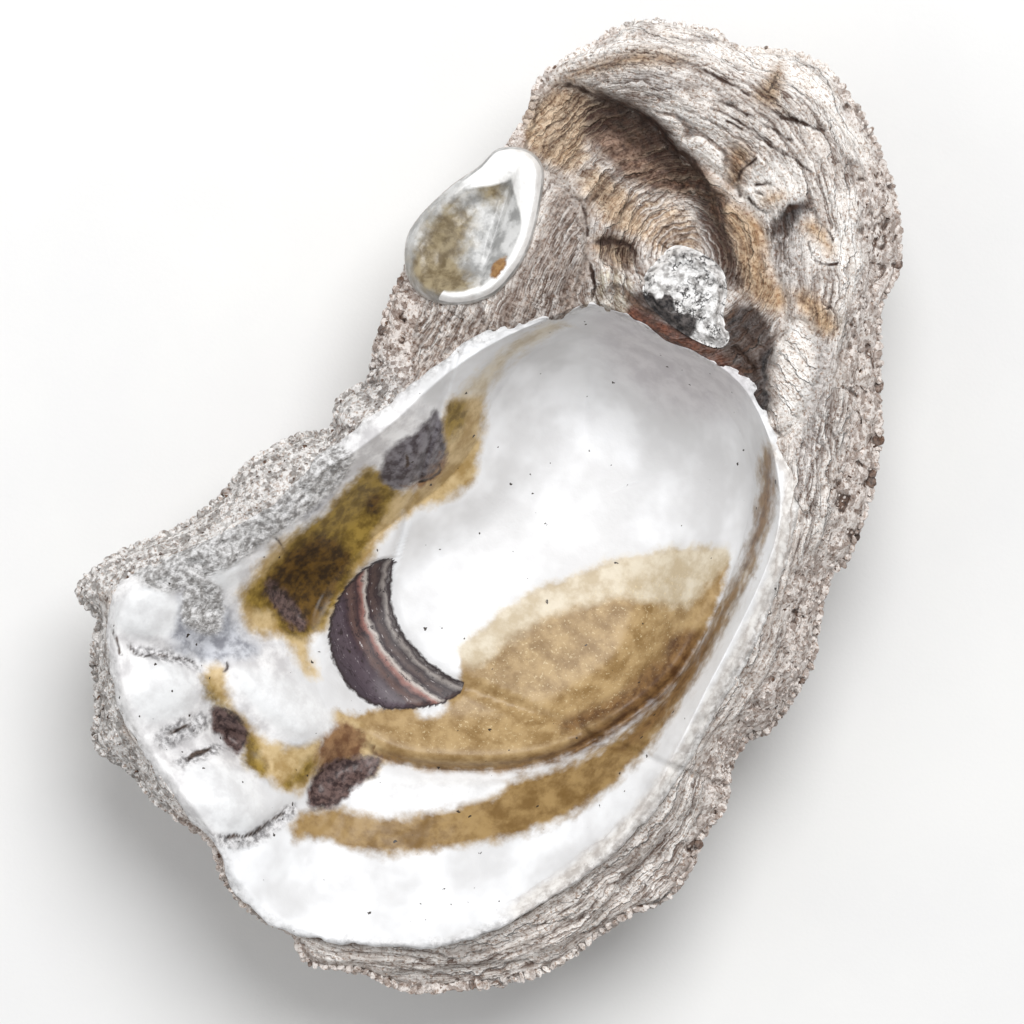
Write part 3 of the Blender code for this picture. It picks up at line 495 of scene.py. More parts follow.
# Builds one finish. Its patterns read Object coordinates in millimetres and the meshes' own attributes.
class Finish(Tree):
    def __init__(self, name, roughness, coat=0.0):
        self.material = bpy.data.materials.new(name)
        self.material.use_nodes = True
        self.tree = self.material.node_tree
        self.surface = self.tree.nodes["Principled BSDF"]
        self.surface.inputs["Roughness"].default_value = roughness
        self.surface.inputs["Coat Weight"].default_value = coat
        self.surface.inputs["Coat Roughness"].default_value = 0.32
        place = self.node("ShaderNodeTexCoord").outputs["Object"]
        scaled = self.node("ShaderNodeMapping", {"Vector": place, "Scale": (1 / mm,) * 3})
        self.place = scaled.outputs["Vector"]
        self.noises, self.reads = {}, {}

    def read(self, name):
        if name not in self.reads:
            self.reads[name] = self.node("ShaderNodeAttribute", attribute_name=name).outputs["Fac"]
        return self.reads[name]

    # Patterns of the same size are one node, because each one takes time at every sample
    def noise(self, size, detail=4.0, rough=0.55, vector=None):
        key = (size, detail, rough, vector)
        if key not in self.noises:
            inputs = {"Vector": vector or self.place, "Scale": 1 / size, "Detail": detail,
                      "Roughness": rough}
            self.noises[key] = self.node("ShaderNodeTexNoise", inputs).outputs["Fac"]
        return self.noises[key]

    # Cells: the distance from each one's middle, and a draw of its own
    def cells(self, size, vector):
        made = self.node("ShaderNodeTexVoronoi", {"Vector": vector, "Scale": 1 / size})
        draw = self.node("ShaderNodeSeparateColor", {"Color": made.outputs["Color"]})
        return made.outputs["Distance"], draw.outputs[0]

    def rise(self, value, low, high, least=0.0, most=1.0):
        inputs = {"Value": value, "From Min": low, "From Max": high, "To Min": least, "To Max": most}
        return self.node("ShaderNodeMapRange", inputs, interpolation_type="SMOOTHSTEP").outputs["Result"]

    def mix(self, share, under, over, blend="MIX"):
        inputs = {0: share, 6: under, 7: over}
        return self.node("ShaderNodeMix", inputs, data_type="RGBA", blend_type=blend).outputs[2]

    # Two tones, dark and light, as a pattern rises from low to high
    def mottled(self, pattern, low, high, tones):
        dark, light = tones
        return self.mix(self.rise(pattern, low, high), tone(*dark), tone(*light))

    # Two pairs of tones, mixed pair by pair
    def paired(self, share, under, over):
        return [self.mix(share, tone(*first), tone(*second)) for first, second in zip(under, over)]

    # A value that a pattern moves up and down by as much as the reach
    def frayed(self, value, pattern, reach):
        return self.calc("ADD", value, self.calc("MULTIPLY_ADD", pattern, 2 * reach, -reach))

    # Rises to 1 where a pattern crosses its middle: thin lines that wander
    def vein(self, pattern, width):
        off = self.calc("ABSOLUTE", self.calc("SUBTRACT", pattern, 0.5))
        return self.rise(off, width, width * 0.2)

    # Coordinates pushed about by noise
    def warped(self, size, reach):
        push = self.node("ShaderNodeTexNoise", {"Vector": self.place, "Scale": 1 / size, "Detail": 1.0})
        inputs = {0: push.outputs["Color"], 1: (2 * reach,) * 3, 2: self.place}
        return self.node("ShaderNodeVectorMath", inputs, operation="MULTIPLY_ADD").outputs[0]

    # Growth lines: how far a point is across its own line, from 0 to 1, and that line's own strength
    def strata(self, pitch, wander, size):
        lines = self.times(self.read("growth"), 1 / pitch)
        lines = self.calc("MULTIPLY_ADD", self.noise(size, 4.0, 0.6), 2 * wander, lines)
        own = self.node("ShaderNodeTexWhiteNoise", {"W": self.calc("FLOOR", lines)}, noise_dimensions="1D")
        broken = self.rise(self.noise(1.6 * size, 2.0), 0.36, 0.56, 0.3, 1.0)
        own = self.calc("POWER", own.outputs["Value"], 0.6)
        return self.calc("FRACT", lines), self.times(own, broken)

    # Lays tones over the colour so far where an attribute rises from low to high, its edge broken by
    # noise. Each layer: attribute, low, high, noise size, noise reach, two tones and their mottle size.
    def lay(self, colour, layers):
        for name, low, high, size, reach, dark, light, mottle in layers:
            size = min((1.4, 2.3), key=lambda shared: abs(shared - size))
            mottle = min((0.8, 1.6, 3.0), key=lambda shared: abs(shared - mottle))
            share = self.rise(self.frayed(self.read(name), self.noise(size, 4.0, 0.62), reach), low, high)
            tones = self.mottled(self.noise(mottle, 4.0, 0.62), 0.34, 0.66, (dark, light))
            colour = self.mix(share, colour, tones)
        return colour

    def close(self, colour, height, roughness=None):
        self.tree.links.new(colour, self.surface.inputs["Base Color"])
        bump = self.node("ShaderNodeBump", {"Height": height, "Distance": mm, "Strength": 1.0})
        self.tree.links.new(bump.outputs["Normal"], self.surface.inputs["Normal"])
        if roughness is not None:
            self.tree.links.new(roughness, self.surface.inputs["Roughness"])
        return self.material


# Small dark specks: some of the cells, each with its own size
def specks(finish, size, reach, share):
    centre, draw = finish.cells(size, finish.warped(0.5, 0.35))
    chosen = finish.rise(draw, 1 - share, 1.0)
    return finish.rise(finish.calc("SUBTRACT", finish.times(chosen, reach), centre), 0.0, 0.04)


nacreColours = {
    "white": ((210, 210, 211), (234, 235, 237)),
    "layers": [
        # attribute, low, high, noise size and reach, dark tone, light tone, mottle size
        # the grey layer is painted shade below the hinge wall
        ("grey", 0.05, 1.0, 5.0, 0.2, (192, 188, 191), (212, 209, 211), 6.0),
        ("hazy", 0.35, 1.1, 2.6, 0.5, (196, 194, 195), (238, 237, 237), 2.6),
        ("margin", 0.25, 0.9, 2.6, 0.35, (188, 182, 177), (228, 225, 221), 1.4),
        ("blue", -1.2, 1.2, 2.4, 1.4, (132, 133, 140), (192, 194, 200), 2.0),
        ("tan", -0.5, 0.6, 2.4, 1.2, (134, 106, 64), (176, 149, 106), 4.2),
        ("band", -0.8, 1.0, 2.4, 1.4, (116, 88, 46), (158, 130, 84), 3.4),
        ("strip", -0.8, 1.0, 2.4, 1.4, (160, 132, 82), (202, 178, 134), 2.6),
        ("pale", -0.9, 1.0, 2.2, 1.4, (186, 170, 142), (214, 204, 184), 2.4),
        # painted shade and stain along the fold's crease
        ("creaseShadeAndStain", -0.9, 0.9, 2.0, 0.9, (86, 58, 33), (130, 98, 60), 2.2),
        ("olive", -0.8, 0.8, 2.0, 1.3, (100, 78, 22), (150, 124, 54), 1.7),
        ("murk", -0.8, 0.8, 1.7, 1.2, (44, 28, 6), (104, 76, 26), 1.3),
        ("blister", -0.4, 0.5, 1.6, 0.7, (60, 52, 56), (126, 122, 127), 1.4),
        ("umber", -0.8, 0.8, 1.8, 1.3, (104, 70, 45), (148, 114, 80), 1.5),
        ("purple", -0.5, 0.5, 1.5, 0.9, (46, 32, 32), (106, 86, 82), 1.0),
        ("snow", -0.7, 0.9, 2.4, 1.3, (213, 213, 214), (232, 233, 234), 3.0),
        ("glass", -0.5, 0.5, 1.4, 0.8, (126, 124, 125), (222, 221, 222), 1.1),
        ("grit", 0.2, 0.8, 1.6, 0.35, (140, 137, 135), (236, 235, 235), 0.8),
        ("dark", 0.25, 0.8, 0.6, 0.12, (40, 32, 29), (84, 70, 62), 0.5),
    ],
    "line": (146, 132, 122),
    "grain": (218, 200, 162),
    "speck": (44, 34, 28),
    "scarShade": (44, 34, 38),
    "scarLight": (206, 200, 200),
    "scarRim": (48, 38, 40),
}

# The muscle's mark, from its inner arc outwards: millimetres and tone
scarBands = [
    (0.0, (155, 151, 148)), (0.5, (67, 59, 61)), (0.9, (148, 141, 137)), (1.5, (53, 43, 46)),
    (2.3, (83, 67, 64)), (2.9, (50, 37, 42)), (3.4, (188, 180, 174)), (3.9, (148, 107, 99)),
    (4.5, (62, 45, 48)), (5.2, (96, 74, 69)), (6.0, (66, 52, 60)), (7.0, (84, 72, 80)),
    (9.0, (68, 58, 66)),
]


def nacreFinish():
    finish = Finish("nacre", 0.45, coat=0.06)
    finish.surface.inputs["Specular IOR Level"].default_value = 0.35
    colour = finish.mottled(finish.noise(9.0, 3.0), 0.35, 0.65, nacreColours["white"])
    colour = finish.lay(colour, nacreColours["layers"])
    # The muscle's mark: dark and pale lines that follow its inner arc
    shade, light, border = (tone(*nacreColours[name]) for name in ("scarShade", "scarLight", "scarRim"))
    across = finish.frayed(finish.read("scarAcross"), finish.noise(2.2, 5.0), 0.75)
    bands = finish.node("ShaderNodeValToRGB", {"Fac": finish.times(across, 0.1)})
    while len(bands.color_ramp.elements) < len(scarBands):
        bands.color_ramp.elements.new(0.5)
    for element, (place, colours) in zip(bands.color_ramp.elements, scarBands):
        element.position, element.color = place / 10, tone(*colours)
    lined = finish.node("ShaderNodeCombineXYZ", {"X": finish.times(across, 3.4)})
    fineLines = finish.noise(1.0, 4.0, 0.65, lined.outputs["Vector"])
    mottle = finish.times(finish.noise(0.8, 5.0, 0.65), fineLines)
    scarColour = finish.mix(finish.rise(mottle, 0.24, 0.14), bands.outputs["Color"], shade)
    scarColour = finish.mix(finish.rise(mottle, 0.33, 0.44), scarColour, light)
    rim = finish.frayed(finish.read("scar"), finish.noise(0.9), 0.45)
    scarColour = finish.mix(finish.rise(rim, 0.6, 0.15), scarColour, border)
    colour = finish.mix(finish.rise(rim, -0.2, 0.2), colour, scarColour)
    # Ends of growth layers towards the edge
    across, own = finish.strata(1.1, 1.2, 4.0)
    ends = finish.times(own, finish.rise(finish.read("margin"), 0.2, 0.9))
    share = finish.times(finish.rise(across, 0.4, 0.05), ends)
    colour = finish.mix(share, colour, tone(*nacreColours["line"]))
    sand = finish.rise(finish.noise(0.34, 2.0), 0.6, 0.7)
    sand = finish.times(sand, finish.rise(finish.read("tan"), 1.0, 4.0))
    colour = finish.mix(finish.times(sand, 0.5), colour, tone(*nacreColours["grain"]))
    colour = finish.mix(specks(finish, 1.7, 0.15, 0.4), colour, tone(*nacreColours["speck"]))
    grit = finish.rise(finish.read("grit"), 0.2, 0.9)
    fine = finish.noise(0.5, 5.0, 0.6)
    coarse = finish.noise(2.4, 4.0)
    height = finish.calc("MULTIPLY_ADD", coarse, 0.06, finish.times(fine, 0.02))
    height = finish.calc("ADD", height, finish.times(grit, finish.times(fine, 0.5)))
    height = finish.calc("MULTIPLY_ADD", finish.times(across, ends), 0.25, height)
    gloss = finish.rise(finish.calc("MULTIPLY_ADD", finish.noise(3.0), 0.3, grit), 0.1, 1.2, 0.42, 0.75)
    return finish.close(colour, height, gloss)


crustColours = {
    "base": ((198, 188, 180), (246, 241, 236)),
    "lines": ((86, 62, 48), (246, 242, 238)),
    "warmLines": ((66, 44, 35), (214, 192, 166)),
    "strata": [
        # pitch, wander in lines and over what size, how dark and how light each line is, and its height
        (4.4, 1.3, 9.0, 1.0, 0.2, 0.5), (2.0, 1.6, 6.0, 1.0, 0.7, 0.6),
        (0.8, 1.5, 3.2, 0.95, 0.55, 0.26), (0.33, 1.2, 1.9, 0.4, 0.25, 0.08),
    ],
    "layers": [
        # attribute, low, high, noise size and reach, dark tone, light tone, mottle size
        ("pale", -1.2, 0.6, 2.4, 1.3, (232, 225, 218), (253, 251, 248), 1.6),
        ("grey", -1.2, 1.2, 2.0, 1.0, (162, 156, 152), (224, 219, 216), 1.0),
        ("ashen", -1.2, 1.4, 2.2, 1.2, (100, 86, 77), (182, 168, 158), 0.9),
        ("golden", -1.2, 1.4, 2.0, 1.1, (168, 130, 92), (222, 194, 160), 1.2),
        ("brown", -1.2, 1.6, 1.8, 1.2, (98, 72, 54), (178, 148, 120), 1.0),
        ("purple", -1.2, 1.2, 1.6, 1.1, (84, 60, 52), (168, 140, 122), 0.8),
        ("sandy", -1.2, 1.2, 1.8, 1.0, (188, 158, 128), (234, 213, 187), 1.2),
        # painted shadow under the hood's lip, and dark patches
        ("darkPatchAndShadow", -1.5, 0.4, 1.4, 0.8, (22, 14, 13), (74, 50, 40), 0.7),
        ("tooth", -0.8, 0.6, 1.4, 0.7, (150, 136, 112), (222, 214, 194), 1.6),
        ("rust", -0.9, 0.5, 1.2, 0.5, (62, 26, 20), (134, 82, 62), 0.8),
        ("sooty", -1.3, 0.5, 1.2, 0.8, (20, 18, 20), (90, 84, 83), 0.7),
    ],
    "crag": ((146, 130, 121), (228, 221, 216)),
    "silver": ((126, 123, 121), (226, 225, 224)),
    # tones of the dirt and painted shade in hollows, pits and seams
    "hollow": ((52, 38, 32), (112, 84, 66)),
    # tones of the cracks and of the painted shadow lines along the lip
    "crackAndShadowLine": ((34, 25, 22), (84, 62, 50)),
    "shade": (190, 172, 160),
}


def crustFinish():
    finish = Finish("crust", 0.62)
    finish.surface.inputs["Specular IOR Level"].default_value = 0.35
    grain = finish.noise(0.8, 4.0, 0.68)
    colour = finish.mottled(finish.noise(2.0, 5.0, 0.6), 0.36, 0.64, crustColours["base"])
    colour = finish.lay(colour, crustColours["layers"])
    # Growth lines in four widths: dark where each begins, and pale towards its edge
    crag, warm, silver = finish.read("crag"), finish.read("warm"), finish.read("silver")
    lined = finish.rise(crag, 0.85, 0.2, 0.12, 1.0)
    lined = finish.times(lined, finish.calc("SUBTRACT", 1.0, finish.read("calm")))
    patchy = finish.rise(finish.noise(6.0, 3.0), 0.38, 0.58, 0.6, 1.0)
    plain = finish.calc("MULTIPLY_ADD", finish.rise(finish.read("pale"), -1.2, 0.6), -0.9, 1.0)
    plain = finish.times(plain, patchy)
    shaded = finish.calc("MAXIMUM", finish.read("darkPatchAndShadow"), finish.read("purple"))
    sooted = finish.calc("MAXIMUM", finish.read("sooty"), finish.read("rust"))
    shaded = finish.times(lined, finish.rise(shaded, 1.6, -0.8, 0.25, 1.0))
    shaded = finish.times(shaded, finish.rise(sooted, 0.4, -0.8, 0.1, 1.0))
    drawn = finish.times(lined, plain)
    brown, white = finish.paired(warm, crustColours["lines"], crustColours["warmLines"])
    # Painted light and shade on the growth layers: paler on their raised parts, browner low down
    raised = finish.frayed(finish.read("raised"), finish.noise(1.6, 5.0), 0.25)
    share = finish.times(finish.rise(raised, 0.36, 0.02), finish.times(drawn, 0.5))
    colour = finish.mix(share, colour, brown)
    share = finish.times(finish.rise(raised, 0.5, 0.9), finish.times(shaded, 0.7))
    colour = finish.mix(share, colour, white)
    relief = 0.0
    for pitch, wander, size, dark, light, depth in crustColours["strata"]:
        across, own = finish.strata(pitch, wander, size)
        share = finish.times(finish.rise(across, 0.45, 0.75), finish.times(own, light))
        colour = finish.mix(finish.times(share, shaded), colour, white)
        share = finish.times(finish.rise(across, 0.34, 0.04), finish.times(own, dark))
        colour = finish.mix(finish.times(share, drawn), colour, brown)
        slope = finish.times(finish.rise(across, 0.0, 0.8), finish.rise(across, 1.0, 0.88))
        relief = finish.calc("MULTIPLY_ADD", finish.times(slope, own), depth, relief)
    # The craggy margin, silvery on the left side
    _, coarse = finish.cells(0.75, finish.warped(0.6, 0.4))
    mottle = finish.calc("MULTIPLY_ADD", coarse, 0.35, finish.times(grain, 0.65))
    dark, light = finish.paired(silver, crustColours["crag"], crustColours["silver"])
    cragColour = finish.mix(finish.rise(mottle, 0.34, 0.62), dark, light)
    colour = finish.mix(finish.rise(crag, 0.25, 0.8, 0.0, 0.8), colour, cragColour)
    # Dirt and painted shade: under the layers' edges, in hollows and pits; and the cracks, with painted
    # shadow lines along the lip
    dirtAndShade = finish.mottled(grain, 0.35, 0.65, crustColours["hollow"])
    ragged = finish.noise(0.6, 4.0)
    seam = finish.rise(finish.frayed(finish.read("seam"), ragged, 0.4), 0.3, 0.9, 0.0, 0.75)
    hollow = finish.rise(finish.frayed(finish.read("hollow"), ragged, 0.4), 0.3, 0.95, 0.0, 0.9)
    pits = finish.times(specks(finish, 1.1, 0.26, 0.7), finish.rise(crag, 0.0, 0.7, 0.35, 1.0))
    sunk = finish.calc("MAXIMUM", seam, hollow)
    colour = finish.mix(finish.calc("MAXIMUM", sunk, pits), colour, dirtAndShade)
    # Cracks, and the painted shadow lines along the hood's lip, darkened
    crackAndShadowLine = finish.rise(finish.frayed(finish.read("dark"), finish.noise(0.5, 4.0), 0.25), 0.3, 0.85)
    dark, light = crustColours["crackAndShadowLine"]
    colour = finish.mix(crackAndShadowLine, colour, finish.mix(grain, tone(*dark), tone(*light)))
    shade = finish.rise(finish.noise(0.42, 3.0, 0.7), 0.52, 0.34)
    colour = finish.mix(shade, colour, tone(*crustColours["shade"]), "MULTIPLY")
    height = finish.times(relief, lined)
    height = finish.calc("MULTIPLY_ADD", grain, 0.24, height)
    height = finish.calc("MULTIPLY_ADD", finish.noise(0.3, 3.0, 0.6), 0.07, height)
    height = finish.calc("MULTIPLY_ADD", sunk, -0.2, height)
    gloss = finish.rise(finish.noise(1.2), 0.3, 0.7, 0.5, 0.8)
    return finish.close(colour, height, gloss)


nacre = nacreFinish()
crust = crustFinish()
print("finishes ready")


# The cup's lining, in counts and millimetres
lining = {
    "around": 690,
    "floorRings": 44,
    "wallRings": 76,
    "underRings": 18,
    "edgeHeight": 0.25,
    "hingeHeight": 0.12,
    "thickness": 0.6,
    "ragged": 0.7,
}

liningMarks = {
    "tan": [
        # the lobe above the fold
        [(26.5, 5.5), (22, 4), (18, 1), (14, -2.5), (11, -6.5), (8, -10), (6, -13.5), (4.5, -18),
         (3.5, -22), (5, -26), (1, -31), (-4, -35), (-7, -37), (-1.5, -38.8), (4, -38.2), (9, -36.2),
         (14.5, -33), (19.3, -29.2), (22.8, -24.8), (25.4, -20.2), (27.4, -15.5), (28.7, -11), (29, -6),
         (28.6, 0)],
    ],
    "band": [
        # the groove outside the fold, and the band below it
        [(23.5, 20), (26, 17.5), (28, 13.5), (29.6, 8), (30.3, 1), (30.6, -6), (30.6, -13), (30.2, -19),
         (29, -25), (26.3, -32), (22.5, -37), (18, -41.5), (12.5, -46), (6, -50), (0, -51.5), (-3.5, -53),
         (-4, -49.5), (0.5, -46.5), (5, -45), (9.5, -42), (13.5, -38), (16.6, -33.2), (20.2, -29.6),
         (24, -24.6), (26.8, -18.4), (28.9, -10), (29, -2), (28.5, 6), (27, 12), (24.5, 17)],
    ],
    "strip": [
        # the strip down the left side
        [(-14, 5), (-11, 8), (-9.6, 6.5), (-8, 3.5), (-7, 1), (-6.3, -2), (-6.8, -4.5), (-8.5, -7),
         (-10.5, -9), (-12, -12), (-12.3, -15), (-12.6, -18.5), (-13.8, -22), (-16.5, -17.5), (-20, -14),
         (-18.5, -8), (-14, -8), (-12, -5.5), (-13, 0)],
        # round the pit, and below the mound
        [(-24, -22.5), (-21.5, -18), (-17, -16), (-13.4, -19), (-13.2, -28), (-14, -30.8), (-10.5, -33.6),
         (-12.5, -34), (-17, -32), (-21, -32.8), (-24.4, -30.5), (-24.6, -26)],
        [(-23.6, -39.5), (-22.5, -41.8), (-19.5, -43.4), (-15, -45), (-12, -47.4), (-8, -48.2), (-5, -47),
         (-4.8, -43), (-6.6, -40), (-9.5, -43), (-14, -43.4), (-19, -41.6), (-21.6, -38.6)],
        [(-7, -38), (-4.5, -36), (1, -38), (2, -40), (-1, -44), (-4.5, -46)],
    ],
    "pale": [
        [(-6.5, 20), (-9.5, 14), (-10.2, 9.5), (-11.5, 7), (-13.2, 6), (-12.2, 10.5), (-10, 16.5),
         (-7.5, 20)],
        [(26.5, 6), (22, 4.4), (18, 1.4), (14, -2.2), (10.8, -6.5), (7.8, -10), (5.6, -13.5), (4, -18),
         (3, -22), (6, -22.6), (8, -17.5), (10.4, -13), (13.6, -9.5), (17, -6), (21, -4.6), (25.5, -2)],
    ],
    # painted shade and stain along the fold's crease, darkest where the lobe rolls down into it
    "creaseShadeAndStain": [
        [(28.6, -5), (29, -12), (26.4, -19), (22.7, -25.5), (16.2, -31.9), (8, -36.6), (1.2, -38.9),
         (0.8, -38.2), (9, -35.5), (16, -31), (21.3, -24.8), (24.6, -18), (26, -12), (25.6, -7)],
        [(25, -11), (27.4, -10.4), (28, -13), (25, -18), (20, -24), (19, -23), (23.5, -16.5)],
        [(28.9, 5), (30, 0), (30.1, -8), (29.8, -15), (28.3, -20), (27, -22), (28.4, -16), (29.2, -9),
         (29.2, -2)],
        [(24.5, 19.2), (27.2, 15.6), (28.6, 11), (29.4, 6), (28.6, 6), (27.4, 11), (25.8, 15.4)],
    ],
    "olive": [
        [(-13.8, 4.6), (-11.8, 5.8), (-11, 2.5), (-11.6, 0.6), (-12.8, 1.6)],
        [(-18.5, -8), (-14.5, -8), (-13.6, -10), (-13.9, -14), (-13.8, -19), (-13.6, -27), (-15, -30.4),
         (-18, -31), (-20.5, -29.6), (-23.6, -30.5), (-24.2, -28), (-22.8, -24), (-22, -18.5),
         (-20.5, -15)],
        [(-23, -41), (-19.5, -42.4), (-16, -43.6), (-13, -45), (-10.5, -47.4), (-13, -48), (-15, -46),
         (-19, -43.8), (-22, -42.8)],
        [(-7, -44), (-5.6, -43), (-5.4, -46), (-7.5, -47.6)],
    ],
    "murk": [
        [(-16.5, -10), (-15.2, -9.8), (-14.6, -11.2), (-15.4, -12.4), (-16.8, -11.8)],
        [(-19, -17.5), (-15.2, -18), (-14.4, -20), (-14.2, -26), (-15, -29.6), (-17.5, -30.3), (-19, -29.4),
         (-22.4, -27.6), (-22.2, -23), (-21, -19.6)],
    ],
    "blister": [
        [(-14.8, 3), (-13, 2), (-12, 0.5), (-10.8, -1), (-10.5, -3), (-11, -5), (-12.5, -6.5), (-14, -8),
         (-16.5, -8), (-17.5, -5.5), (-17, -3), (-15.8, -1), (-15.3, 1)],
    ],
    "umber": [
        [(-10.9, -1.5), (-10.3, -3), (-10.8, -5.2), (-12.6, -7), (-12, -5.5), (-11.2, -3.4)],
        [(-6.8, -39.5), (-5, -37), (-1.5, -37.8), (-2, -41), (-5, -43.5)],
    ],
    "purple": [
        [(1, -38.6), (-2, -40.5), (-4.4, -42.6), (-4.9, -46), (-3.4, -48.6), (-0.6, -46.6), (0.4, -43.2),
         (1.8, -40.6)],
        [(-20.5, -43.4), (-17, -43.1), (-14.5, -44.5), (-14.5, -47), (-16, -47.3), (-17.5, -46.5),
         (-19.5, -45.8)],
        [(-22.6, -26.4), (-20.6, -26.1), (-17.8, -27.4), (-15.6, -28.6), (-15.8, -30), (-18.4, -29.4),
         (-21.4, -28)],
    ],
    "blue": [
        [(-30, -31), (-25, -31.5), (-22, -33.3), (-19, -34.6), (-21.6, -37.6), (-24, -39), (-28, -39.6),
         (-31, -36)],
        [(-25, -10), (-22.5, -9), (-21, -13), (-22, -17), (-24.5, -15)],
        [(-9.5, -42.5), (-6.5, -41), (-7.3, -44), (-8.8, -47.5), (-10.5, -48), (-9.4, -45)],
    ],
    "snow": [
        [(3, -41), (8, -37.5), (13, -34.6), (16.6, -33.6), (15.5, -36.5), (11.5, -39), (8, -41.5),
         (5, -42.5)],
        [(-20.5, -37.6), (-12, -35.6), (-6, -37.6), (-7, -40.5), (-9, -42.3), (-13, -41.8), (-18, -40.2)],
        [(-37.4, -39), (-35.6, -34.6), (-31, -34), (-29.5, -37), (-31.5, -40), (-35, -41)],
        [(-31, -43.5), (-28, -41), (-24.5, -41.5), (-22.5, -44.5), (-24.5, -48), (-27, -49.5),
         (-30, -47.5)],
        [(-19.5, -51.5), (-16, -49.2), (-11.5, -49), (-9, -51), (-8.5, -54), (-12, -56.5), (-17, -55)],
        [(1.5, -29.5), (4.5, -28), (5.5, -29.5), (3, -31.5)],
        [(-30.5, -25), (-26.5, -24.5), (-25.4, -28), (-27, -30), (-30, -29.4)],
    ],
    "glass": [
        [(-25, -50.4), (-23.6, -47.6), (-21.6, -45), (-20, -44.9), (-19.8, -46.4), (-21.3, -49),
         (-23.4, -51.2)],
        [(-21.2, -51.6), (-19.2, -49), (-17.6, -47.2), (-16.6, -47.8), (-18.2, -50), (-19.8, -51.8)],
        [(-12, -57.2), (-8.6, -55.2), (-7.2, -52.5), (-6, -49.6), (-4.6, -50), (-5.6, -53), (-7.4, -56.4),
         (-10.6, -58.2)],
        [(-33.5, -41.8), (-30, -40.4), (-26.5, -39.6), (-24, -40.2), (-27, -41), (-31, -42.4)],
    ],
}

liningCracks = [
    (0.4, [(-20.6, -43.6), (-18, -43.1), (-15.4, -43.9)]),
    (0.4, [(-24.5, -50.6), (-22.8, -48.2), (-21, -46)]),
    (0.4, [(-20.6, -51.6), (-18.8, -49.2), (-17.3, -47.6)]),
    (0.4, [(-11.5, -57.4), (-8.5, -55.2), (-7, -52.5), (-5.4, -50)]),
    (0.4, [(-22.5, -27), (-20.6, -26.6), (-18.6, -27.6), (-16.2, -29)]),
    (0.3, [(-34, -41.5), (-32, -42.5), (-30, -41.4), (-27, -40.2), (-24.5, -39.4)]),
    (0.3, [(-36.8, -41), (-34.8, -42.2), (-33.2, -44)]),
    (0.3, [(-25, -20.6), (-23, -21.6), (-21.8, -22.8)]),
    (0.25, [(-22, -37.2), (-21.2, -38.4), (-21.6, -39.6)]),
    (0.28, [(-15.6, -3.2), (-14.6, -4.4), (-14.2, -5.8)]),
    (0.25, [(-11.4, -2), (-10.6, -3.4), (-11.3, -5), (-12.6, -6.3)]),
]

gritZones = [
    [(-27, -9), (-21, -7), (-21, -13), (-25, -22), (-28, -28), (-33, -34), (-39, -32), (-33, -20)],
    [(-24.5, -35), (-27, -30), (-31, -31), (-29, -36)],
]


